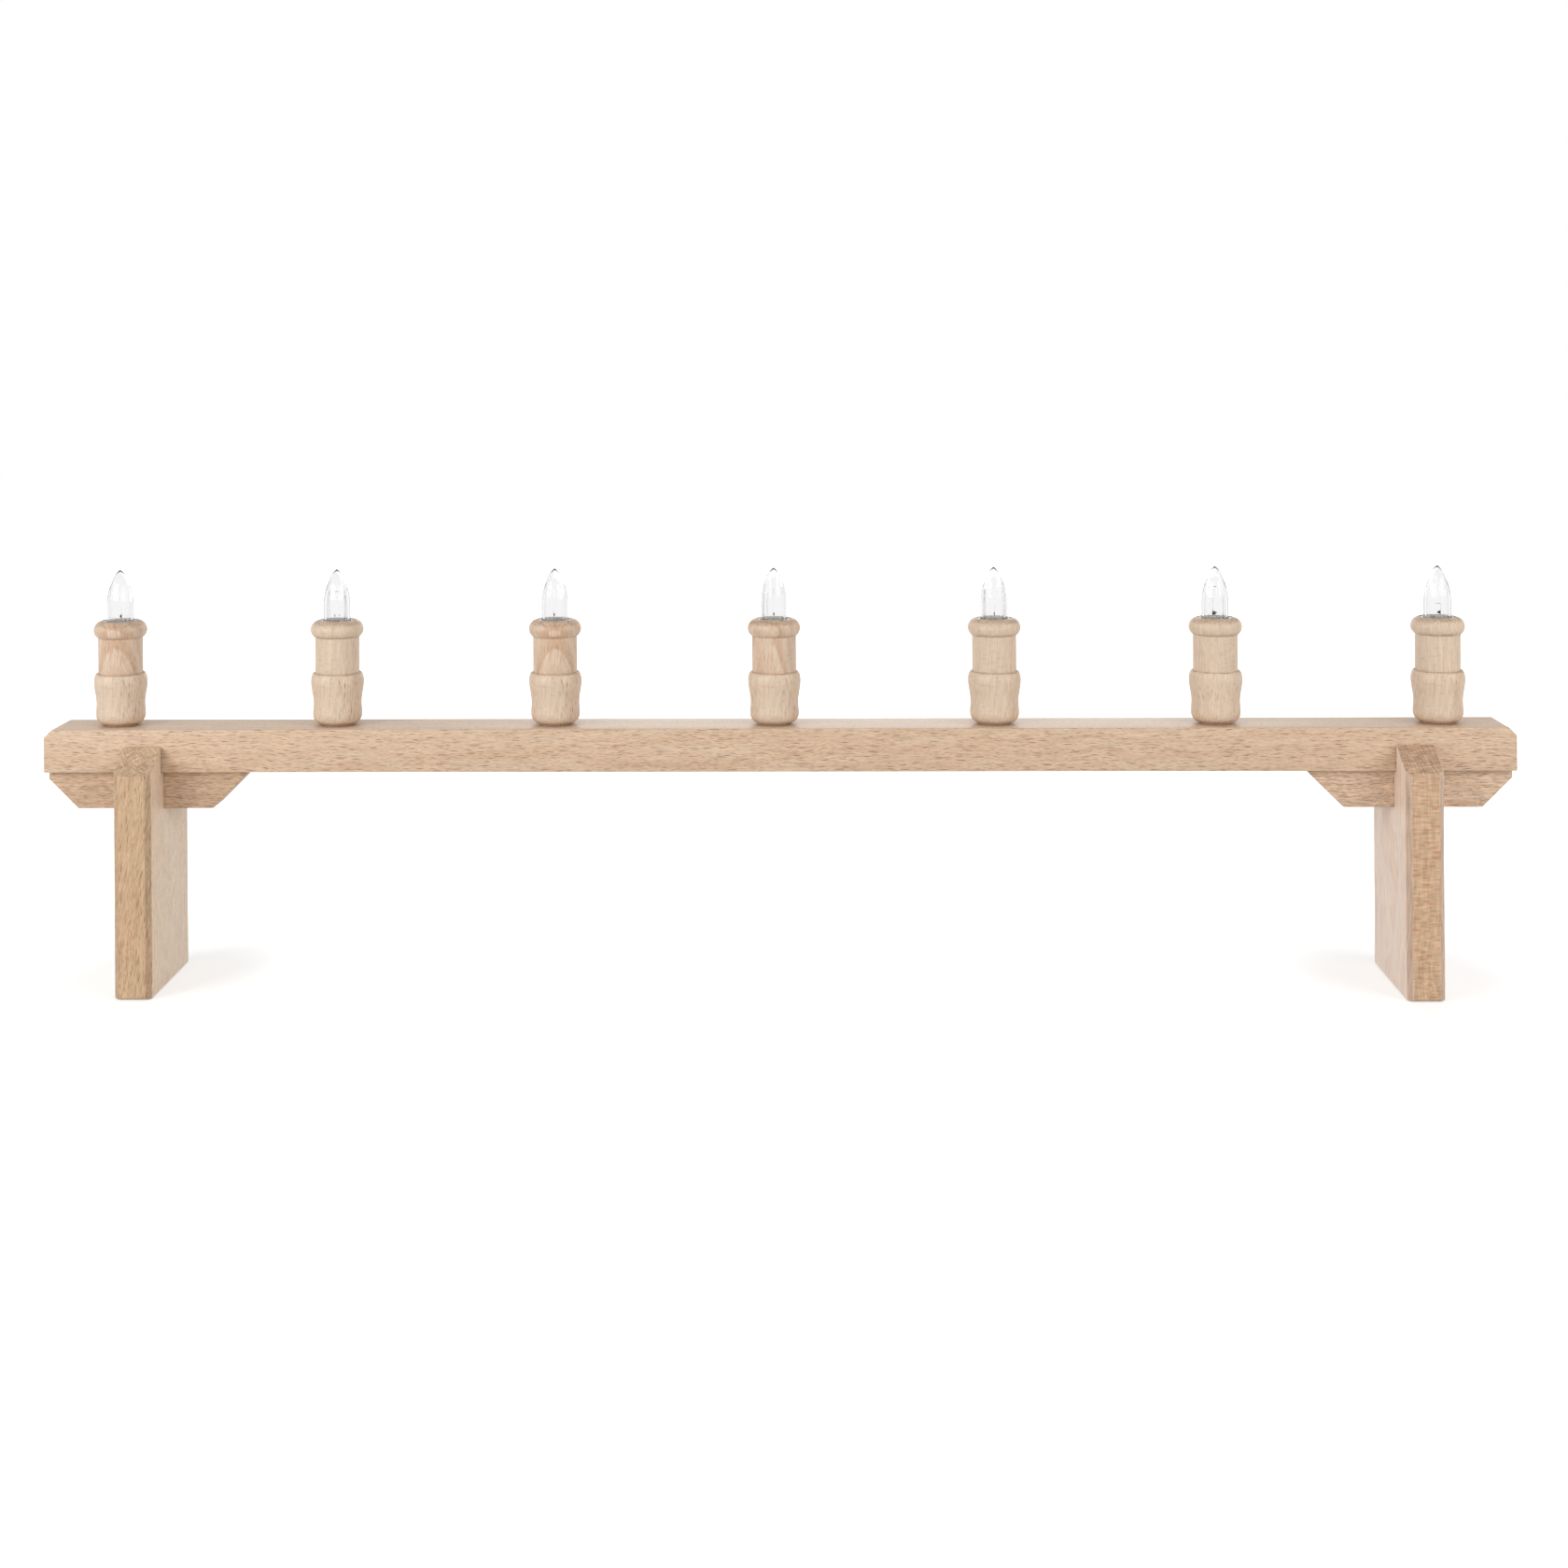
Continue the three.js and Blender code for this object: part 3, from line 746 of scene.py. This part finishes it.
def makeScuffGroup():  # fine mottling for moulded plastic and for metal
    tree, given, result = startGroup("scuffs", {"Vector": "Vector", "Size": "Float"},
                                     {"Broad": "Float", "Fine": "Float"})
    place = vectorMaths(tree, "SCALE", given["Vector"], maths(tree, "DIVIDE", 1.0, given["Size"]))
    feed(tree, result["Broad"], noise(tree, place, detail=3.0))
    feed(tree, result["Fine"], noise(tree, place, 9.0))
    return tree


scuffGroup = makeScuffGroup()


def scuffed(name, first, second, size, roughness, relief, **constants):
    material, tree, shader = startMaterial(name, **constants)
    coords = addNode(tree, "ShaderNodeTexCoord")
    scuffs = addNode(tree, "ShaderNodeGroup", node_tree=scuffGroup)
    feed(tree, scuffs.inputs["Vector"], coords.outputs["Object"])
    scuffs.inputs["Size"].default_value = size * mm
    mask = fade(tree, scuffs.outputs["Broad"], 0.35, 0.7)
    feed(tree, shader.inputs["Base Color"], mixColours(tree, mask, first, second))
    dull = maths(tree, "MULTIPLY_ADD", scuffs.outputs["Fine"], 0.2, roughness - 0.1)
    feed(tree, shader.inputs["Roughness"], dull)
    bump = addNode(tree, "ShaderNodeBump")
    bump.inputs["Strength"].default_value = 0.4
    bump.inputs["Distance"].default_value = relief * mm
    feed(tree, bump.inputs["Height"], scuffs.outputs["Fine"])
    feed(tree, shader.inputs["Normal"], bump.outputs["Normal"])
    return material


holderPlastic = scuffed("holderPlastic", colour(243, 242, 240), colour(233, 232, 230), 3.0,
                        0.42, 0.02)
capBrass = scuffed("capBrass", colour(206, 184, 130), colour(178, 152, 96), 2.0, 0.3, 0.01,
                   Metallic=1.0)
solderMetal = scuffed("solderMetal", colour(172, 172, 174), colour(140, 140, 144), 0.8, 0.38,
                      0.03, Metallic=1.0)
leadMetal = scuffed("leadMetal", colour(204, 198, 190), colour(176, 168, 160), 1.0, 0.4, 0.01,
                    Metallic=1.0)
filamentMetal = scuffed("filamentMetal", colour(150, 148, 148), colour(120, 118, 118), 0.5, 0.45,
                        0.01, Metallic=1.0)
darkBead = scuffed("darkBead", colour(30, 28, 28), colour(46, 42, 42), 0.7, 0.2, 0.01)
vitrite = scuffed("vitrite", colour(34, 32, 38), colour(52, 48, 54), 1.2, 0.25, 0.02)
wireVinyl = scuffed("wireVinyl", colour(233, 231, 226), colour(222, 220, 213), 4.0, 0.5, 0.02)


# Lampholders, with the threaded brass shell inside

threadPiece = {"pitch": 1.814, "depth": 0.28, "rowHeight": 0.13, "steps": 72}
holderPiece = {
    "steps": 96,
    "mouthGap": 0.55,
    "mouthDepth": 8.4,
    "floor": 2.5,
    "floorRise": 6.9,
    "boreGap": 0.3,
    "chamberRadius": 6.0,
    "edgeRadius": 0.2,
    "edgeSteps": 4,
    "collarDrop": 0.25,
    "shellThickness": 0.12,
    "shellClearance": 0.1,
    "shellDrop": 0.2,
}


def cutThread(verts, settings, low, high):  # right-handed, fading at both ends
    for vert in verts:
        radius = hypot(vert.co.x, vert.co.y)
        height = vert.co.z / mm
        if low < height < high:
            phase = 2 * pi * height / settings["pitch"] - atan2(vert.co.y, vert.co.x)
            ease = min(1, (height - low) / settings["pitch"], (high - height) / settings["pitch"])
            cut = settings["depth"] * ease * (0.5 - 0.5 * cos(phase)) * mm
            vert.co.xy *= (radius - cut) / radius


def threadRows(radius, low, high, rowHeight):
    count = round((high - low) / rowHeight)
    return [(radius, low + (high - low) * row / count) for row in range(count + 1)]


def makeHolder(number, settings, thread):
    low, high = span(f"candle_{number}_lampholder")
    centre = candleCentre(number)
    cap = span(f"lamp_{number}_cap")
    glass = span(f"lamp_{number}_glass")
    radius = (high.x - low.x) / 2 / mm
    mouth = (glass[1].x - glass[0].x) / 2 / mm + settings["mouthGap"]
    bore = (cap[1].x - cap[0].x) / 2 / mm + settings["boreGap"]
    top = span(f"candle_{number}_sleeve")[1].z / mm - settings["collarDrop"]
    foot = low.z / mm
    floorTop = foot + settings["floorRise"]
    chamberTop = floorTop - settings["floor"]
    edge = settings["edgeRadius"]
    shelf = high.z / mm - settings["mouthDepth"]
    chamber = settings["chamberRadius"]
    steps = settings["edgeSteps"]
    profile = [(0, chamberTop), (chamber, chamberTop), (chamber, foot), (radius, foot)]
    profile += arc((radius - edge, top - edge), (edge, edge), 0, pi / 2, steps)
    profile += arc((mouth + edge, top - edge), (edge, edge), pi / 2, pi, steps)
    profile += [(mouth, shelf), (bore, shelf), (bore, floorTop), (0, floorTop)]
    work = turnedShell(profile, settings["steps"], centre)
    addPiece(work, f"candle_{number}_holder_shell", "frame", [f"candle_{number}_lampholder"],
             holderPlastic)

    inner = bore - settings["boreGap"] + settings["shellClearance"]
    outer = inner + settings["shellThickness"]
    shellTop = shelf - settings["shellDrop"]
    rows = threadRows(inner, floorTop, shellTop, thread["rowHeight"])
    back = [(outer, height) for _, height in reversed(rows)]
    work = bmesh.new()
    turnOnAxis(work, rows + back, thread["steps"], closed=True)
    tidyShell(work)
    cutThread(work.verts, thread, floorTop, shellTop)
    bmesh.ops.translate(work, verts=work.verts, vec=centre)
    addPiece(work, f"candle_{number}_screw_shell", "frame", [], capBrass)


for number in range(1, lampCount + 1):
    makeHolder(number, holderPiece, threadPiece)
print("lampholders made")


# Lamps: contact, threaded cap, stem with leads and filament, fluted glass

contactPiece = {
    "steps": 48,
    "stemRadius": 1.9,
    "tipRadius": 1.5,
    "tipHeight": 0.7,
    "tipSteps": 10,
    "capGap": 0.3,
    "edge": 0.5,
    "domeSteps": 8,
}
capPiece = {
    "thickness": 0.2,
    "floor": 0.5,
    "holeGap": 0.3,
    "footEase": 0.5,
    "threadStart": 0.3,
    "rimHeight": 0.6,
}
mountPiece = {
    "steps": 48,
    "stemLength": 9.5,
    "stemRadius": 3.15,
    "stemNeck": 1.1,
    "stemTop": 1.9,
    "neckDrop": 2.5,
    "topEdge": 0.5,
    "leadSink": 1.0,
    "leadKneeDrop": 3.0,
    "leadSpread": 1.35,
    "leadRadius": 0.06,
    "leadSides": 8,
    "beadHeight": 52.6,
    "beadLength": 1.9,
    "beadRadius": 0.42,
    "coilTurns": 12,
    "coilArch": 0.12,
    "coilRadius": 0.12,
    "coilWire": 0.03,
    "coilSteps": 10,
}
# Height of each lamp's filament above the bar, and how far its leads are turned.
lampMounts = [(55.6, 97), (64.0, 28), (55.0, 88), (64.6, 35), (56.4, 70), (65.0, 40), (56.6, -8)]
glassPiece = {
    "flutes": 16,
    "stepsPerFlute": 12,
    "fluteDepth": 0.3,
    "fluteFade": (61.0, 72.5),  # heights above the bar where they thin out and end
    "wall": 0.6,
    "tipThickness": 1.15,
    "taperLength": 17.9,
    "taperPower": 0.72,
    "shoulderLength": 3.0,
    "neckLength": 6.9,
    "neckRadius": 4.05,
    "taperSteps": 26,
}


def makeContact(number, settings):
    low, high = span(f"lamp_{number}_contact")
    centre = candleCentre(number)
    radius = (high.x - low.x) / 2 / mm
    foot = low.z / mm
    top = high.z / mm
    shelf = span(f"lamp_{number}_cap")[0].z / mm - settings["capGap"]
    edge = shelf - settings["edge"]
    tip = settings["tipRadius"]
    neck = settings["stemRadius"]
    seam = foot + settings["tipHeight"]
    profile = [(0, seam), (tip, seam)]
    profile += arc((tip, edge), (radius - tip, edge - seam), -pi / 2, 0, settings["domeSteps"])
    profile += [(radius, shelf), (neck, shelf), (neck, top), (0, top)]
    work = turnedShell(profile, settings["steps"], centre)
    addPiece(work, f"lamp_{number}_insulator", f"lamp_{number}_foot",
             [f"lamp_{number}_contact"], vitrite)
    profile = arc((0, seam), (tip, seam - foot), -pi / 2, 0, settings["tipSteps"]) + [(0, seam)]
    work = turnedShell(profile, settings["steps"], centre)
    addPiece(work, f"lamp_{number}_solder_tip", f"lamp_{number}_foot", [],
             solderMetal)


def makeCap(number, settings, thread):
    low, high = span(f"lamp_{number}_cap")
    centre = candleCentre(number)
    radius = (high.x - low.x) / 2 / mm
    foot = low.z / mm
    top = high.z / mm
    inner = radius - settings["thickness"]
    hole = contactPiece["stemRadius"] + settings["holeGap"]
    start = foot + settings["threadStart"]
    outside = threadRows(radius, start, top, thread["rowHeight"])
    inside = [(inner, height) for _, height in reversed(outside)]
    profile = [(hole, foot), (radius - settings["footEase"], foot)] + outside + inside
    profile += [(inner, foot + settings["floor"]), (hole, foot + settings["floor"])]
    work = bmesh.new()
    turnOnAxis(work, profile, thread["steps"], closed=True)
    tidyShell(work)
    wall = (inner - settings["thickness"] / 4) * mm
    wallVerts = [vert for vert in work.verts if hypot(vert.co.x, vert.co.y) > wall]
    cutThread(wallVerts, thread, start, top - settings["rimHeight"])
    bmesh.ops.translate(work, verts=work.verts, vec=centre)
    addPiece(work, f"lamp_{number}_threaded_cap", f"lamp_{number}_bulb", [f"lamp_{number}_cap"],
             capBrass)


def makeMount(number, settings, filamentHeight, turned):
    barTop = span("bar")[1].z / mm
    foot = span(f"lamp_{number}_filament")[0].z / mm - barTop
    stemTop = foot + settings["stemLength"]
    body = f"lamp_{number}_bulb"
    placed = Matrix.Translation(candleCentre(number, barTop * mm))
    placed = placed @ Matrix.Rotation(radians(turned), 4, "Z")

    flare = (settings["stemRadius"], foot)
    neck = (settings["stemNeck"], stemTop - settings["neckDrop"])
    edge = settings["topEdge"]
    profile = [(0, foot), flare] + swell(flare, neck, 10) + [neck]
    profile += swell(neck, (settings["stemTop"], stemTop - edge - 0.1), 6)
    profile += arc((settings["stemTop"] - edge, stemTop - edge), (edge, edge), 0, pi / 2, 5)
    profile += [(0, stemTop)]
    work = bmesh.new()
    turnOnAxis(work, profile, settings["steps"])
    tidyShell(work)
    bmesh.ops.transform(work, verts=work.verts, matrix=placed)
    addPiece(work, f"lamp_{number}_stem", body, [f"lamp_{number}_filament"],
             clearGlass)

    work = bmesh.new()
    half = settings["leadSpread"] / 2
    for side in (-1, 1):
        start = Vector((side * half * 0.6, 0, stemTop - settings["leadSink"])) * mm
        knee = Vector((side * half, 0, settings["beadHeight"] - settings["leadKneeDrop"])) * mm
        end = Vector((side * half, 0, filamentHeight)) * mm
        hook = Vector((side * half * 0.8, 0, filamentHeight + 0.25)) * mm
        addTube(work, [start, knee, end, hook], settings["leadRadius"] * mm, settings["leadSides"])
    bmesh.ops.recalc_face_normals(work, faces=work.faces)
    bmesh.ops.transform(work, verts=work.verts, matrix=placed)
    addPiece(work, f"lamp_{number}_leads", body, [], leadMetal)

    work = bmesh.new()
    stretch = settings["beadLength"] / 2 / settings["beadRadius"]
    for side in (-1, 1):
        bead = bmesh.ops.create_uvsphere(work, u_segments=16, v_segments=10,
                                         radius=settings["beadRadius"] * mm)["verts"]
        bmesh.ops.scale(work, verts=bead, vec=(1, 1, stretch))
        bmesh.ops.translate(work, verts=bead,
                            vec=(side * half * mm, 0, settings["beadHeight"] * mm))
    bmesh.ops.transform(work, verts=work.verts, matrix=placed)
    addPiece(work, f"lamp_{number}_beads", body, [], darkBead)

    work = bmesh.new()
    steps = settings["coilTurns"] * settings["coilSteps"]
    coil = []
    for step in range(steps + 1):
        share = step / steps
        angle = 2 * pi * settings["coilTurns"] * share
        sideways = settings["coilRadius"] * cos(angle)
        upwards = settings["coilRadius"] * sin(angle) + settings["coilArch"] * sin(pi * share)
        coil.append(Vector(((share * 2 - 1) * half, sideways, filamentHeight + upwards)) * mm)
    addTube(work, coil, settings["coilWire"] * mm, 5)
    bmesh.ops.recalc_face_normals(work, faces=work.faces)
    bmesh.ops.transform(work, verts=work.verts, matrix=placed)
    addPiece(work, f"lamp_{number}_coil", body, [], filamentMetal)


def taper(radius, bottom, length, power, steps):
    run = []
    for step in range(steps + 1):
        share = sin(pi / 2 * step / steps)
        run.append((radius * max(0, 1 - share ** 2) ** power, bottom + share * length))
    return run


def makeGlass(number, settings):
    low, high = span(f"lamp_{number}_glass")
    barTop = span("bar")[1].z / mm
    radius = (high.x - low.x) / 2 / mm
    inner = radius - settings["wall"]
    foot = low.z / mm - barTop
    tip = high.z / mm - barTop
    taperFoot = tip - settings["taperLength"]
    shoulder = foot + settings["neckLength"]
    neck = settings["neckRadius"]
    steps = settings["flutes"] * settings["stepsPerFlute"]

    def shellProfile(body, throat, length):
        top = shoulder + settings["shoulderLength"]
        straight = [(body, top + (taperFoot - top) * row / 6) for row in range(6)]
        run = [(throat, foot), (throat, shoulder)]
        run += swell((throat, shoulder), (body, top), 8) + straight
        return run + taper(body, taperFoot, length, settings["taperPower"], settings["taperSteps"])

    work = bmesh.new()
    outside = turnOnAxis(work, shellProfile(radius, neck, settings["taperLength"]), steps)
    fluteStart = shoulder + settings["shoulderLength"] - 1
    first, last = settings["fluteFade"]
    for vert in outside:
        height = vert.co.z / mm
        reach = hypot(vert.co.x, vert.co.y) / mm
        ease = min(1, (height - fluteStart) / 2, (last - height) / (last - first))
        if ease > 0 and reach > 1:
            lobe = abs(sin(settings["flutes"] / 2 * atan2(vert.co.y, vert.co.x)))
            cut = settings["fluteDepth"] * ease * (1 - lobe)
            vert.co.xy *= (reach - cut) / reach
    innerLength = settings["taperLength"] - settings["tipThickness"]
    inside = shellProfile(inner, neck - settings["wall"], innerLength)
    turnOnAxis(work, [(neck, foot)] + inside, steps)
    tidyShell(work)
    bmesh.ops.translate(work, verts=work.verts, vec=candleCentre(number, barTop * mm))
    addPiece(work, f"lamp_{number}_fluted_glass", f"lamp_{number}_bulb",
             [f"lamp_{number}_glass"], clearGlass)


def makeClearGlass():
    material, tree, shader = startMaterial("clearGlass", IOR=1.3, Transmission_Weight=1.0)
    # Painted shade: the base colour greys where the surface turns away from view. This is partly the
    # glass's own faint grey, and partly stands in for the dark edge lines that the surroundings
    # leave in real glass.
    edge = addNode(tree, "ShaderNodeLayerWeight")
    edge.inputs["Blend"].default_value = 0.5
    paintedEdgeShade = maths(tree, "POWER", edge.outputs["Facing"], 3.0)
    shade = mixColours(tree, paintedEdgeShade, colour(250, 250, 250), colour(240, 240, 241))
    feed(tree, shader.inputs["Base Color"], shade)
    coords = addNode(tree, "ShaderNodeTexCoord")
    smear = noise(tree, coords.outputs["Object"], 400.0)
    feed(tree, shader.inputs["Roughness"], maths(tree, "MULTIPLY", smear, 0.02))
    return material


clearGlass = makeClearGlass()
for index, (filamentHeight, turned) in enumerate(lampMounts[:lampCount]):
    makeContact(index + 1, contactPiece)
    makeCap(index + 1, capPiece, threadPiece)
    makeMount(index + 1, mountPiece, filamentHeight, turned)
    makeGlass(index + 1, glassPiece)
print("lamps made")


# Twin wire in the groove, with a branch up into each lampholder

harnessPiece = {"thickness": 1.8, "sides": 16}


def makeHarness(settings):
    low, high = span("wiring_harness")
    radius = settings["thickness"] / 2 * mm
    height = low.z + radius
    work = bmesh.new()
    for side in (-1, 1):
        ends = [(x, side * radius, height) for x in (low.x, high.x)]
        addTube(work, ends, radius, settings["sides"])
        for number in range(1, lampCount + 1):
            x = candleCentre(number).x + side * radius
            ends = [(x, 0, z) for z in (height, high.z)]
            addTube(work, ends, radius, settings["sides"])
    bmesh.ops.recalc_face_normals(work, faces=work.faces)
    addPiece(work, "wiring_harness_wires", "frame", ["wiring_harness"], wireVinyl)


makeHarness(harnessPiece)
print("wires made")


# Studio: white for the camera and for glass, a pale floor that keeps a faint shadow and
# is clear from below

studio = {
    "ambient": 0.5,
    "ceiling": 0.85,
    "wallTop": (0.2, 0.6),
    "floorSize": 6.0,
    "floorShade": 0.6,
    "floorGlow": 0.55,
    "glowRise": (0.03, 0.12),  # the glow is full past this distance from a foot
    "floorBounce": 0.8,
    "softboxSize": 0.9,
    "softboxes": {
        "left": {"place": (-1.4, -1.2, 0.75), "aim": (-0.2, 0.0, 0.12), "power": 16.6},
        "right": {"place": (1.4, -1.1, 0.75), "aim": (0.25, 0.0, 0.1), "power": 11.0},
        "rear": {"place": (0.1, 1.6, 0.5), "aim": (0.0, 0.0, 0.12), "power": 3.2},
    },
}


def makeWorld(settings):
    world = bpy.data.worlds.new("studio")
    bpy.context.scene.world = world
    world.use_nodes = True
    tree = world.node_tree
    tree.nodes.clear()
    ray = addNode(tree, "ShaderNodeLightPath").outputs
    coords = addNode(tree, "ShaderNodeTexCoord")
    height = split(tree, coords.outputs["Generated"])[2]
    dark = fade(tree, height, *settings["wallTop"])
    wall = maths(tree, "MULTIPLY_ADD", dark, settings["ceiling"] - 1.0, 1.0)
    seen = maths(tree, "MAXIMUM", ray["Is Camera Ray"], ray["Is Transmission Ray"])
    lit = maths(tree, "MAXIMUM", seen, ray["Is Glossy Ray"])
    mirrored = maths(tree, "MULTIPLY", ray["Is Glossy Ray"], wall)
    shown = maths(tree, "MAXIMUM", seen, mirrored)
    rest = maths(tree, "MULTIPLY", maths(tree, "SUBTRACT", 1.0, lit), settings["ambient"])
    background = addNode(tree, "ShaderNodeBackground")
    background.inputs["Color"].default_value = (1, 1, 1, 1)
    feed(tree, background.inputs["Strength"], maths(tree, "ADD", shown, rest))
    output = addNode(tree, "ShaderNodeOutputWorld")
    tree.links.new(background.outputs[0], output.inputs["Surface"])


def makeFloor(settings):
    work = bmesh.new()
    bmesh.ops.create_grid(work, x_segments=1, y_segments=1, size=settings["floorSize"] / 2)
    mesh = bpy.data.meshes.new("floor")
    work.to_mesh(mesh)
    work.free()
    floor = bpy.data.objects.new("floor", mesh)
    bpy.context.scene.collection.objects.link(floor)
    material = bpy.data.materials.new("paleFloor")
    material.use_nodes = True
    mesh.materials.append(material)
    tree = material.node_tree
    tree.nodes.clear()
    ray = addNode(tree, "ShaderNodeLightPath").outputs
    coords = addNode(tree, "ShaderNodeTexCoord")
    low, high = span("right_leg")
    fromFeet = vectorMaths(tree, "ABSOLUTE", coords.outputs["Object"])
    fromFeet = vectorMaths(tree, "SUBTRACT", fromFeet, ((low.x + high.x) / 2, 0.0, 0.0))
    fromFeet = vectorMaths(tree, "MULTIPLY", fromFeet, (1.0, 0.7, 0.0))
    away = fade(tree, vectorMaths(tree, "LENGTH", fromFeet), *settings["glowRise"])
    seen = addNode(tree, "ShaderNodeAddShader")
    shaded = addNode(tree, "ShaderNodeBsdfDiffuse")
    level = settings["floorShade"]
    shaded.inputs["Color"].default_value = (level, level, level, 1)
    glowing = addNode(tree, "ShaderNodeEmission")
    glow = maths(tree, "MULTIPLY_ADD", away, 1.0 - settings["floorGlow"], settings["floorGlow"])
    feed(tree, glowing.inputs["Strength"], glow)
    glowing.inputs["Color"].default_value = (1, 1, 1, 1)
    tree.links.new(shaded.outputs[0], seen.inputs[0])
    tree.links.new(glowing.outputs[0], seen.inputs[1])
    bounce = addNode(tree, "ShaderNodeBsdfDiffuse")
    level = settings["floorBounce"]
    bounce.inputs["Color"].default_value = (level, level, level, 1)
    white = addNode(tree, "ShaderNodeEmission")
    clear = addNode(tree, "ShaderNodeBsdfTransparent")
    mirrored = maths(tree, "MAXIMUM", ray["Is Glossy Ray"], ray["Is Transmission Ray"])
    below = addNode(tree, "ShaderNodeNewGeometry").outputs["Backfacing"]
    shader = bounce
    for factor, other in ((mirrored, white), (ray["Is Camera Ray"], seen), (below, clear)):
        blend = addNode(tree, "ShaderNodeMixShader")
        feed(tree, blend.inputs["Fac"], factor)
        tree.links.new(shader.outputs[0], blend.inputs[1])
        tree.links.new(other.outputs[0], blend.inputs[2])
        shader = blend
    output = addNode(tree, "ShaderNodeOutputMaterial")
    tree.links.new(shader.outputs[0], output.inputs["Surface"])


def makeSoftbox(side, size, settings):
    data = bpy.data.lights.new(f"{side}Softbox", "AREA")
    data.size = size
    data.energy = settings["power"]
    light = bpy.data.objects.new(f"{side}Softbox", data)
    place = Vector(settings["place"])
    turn = (Vector(settings["aim"]) - place).to_track_quat("-Z", "Y")
    light.matrix_world = Matrix.Translation(place) @ turn.to_matrix().to_4x4()
    bpy.context.scene.collection.objects.link(light)


makeWorld(studio)
makeFloor(studio)
for side, settings in studio["softboxes"].items():
    makeSoftbox(side, studio["softboxSize"], settings)
bpy.context.scene.view_settings.view_transform = "Standard"
print("studio made")
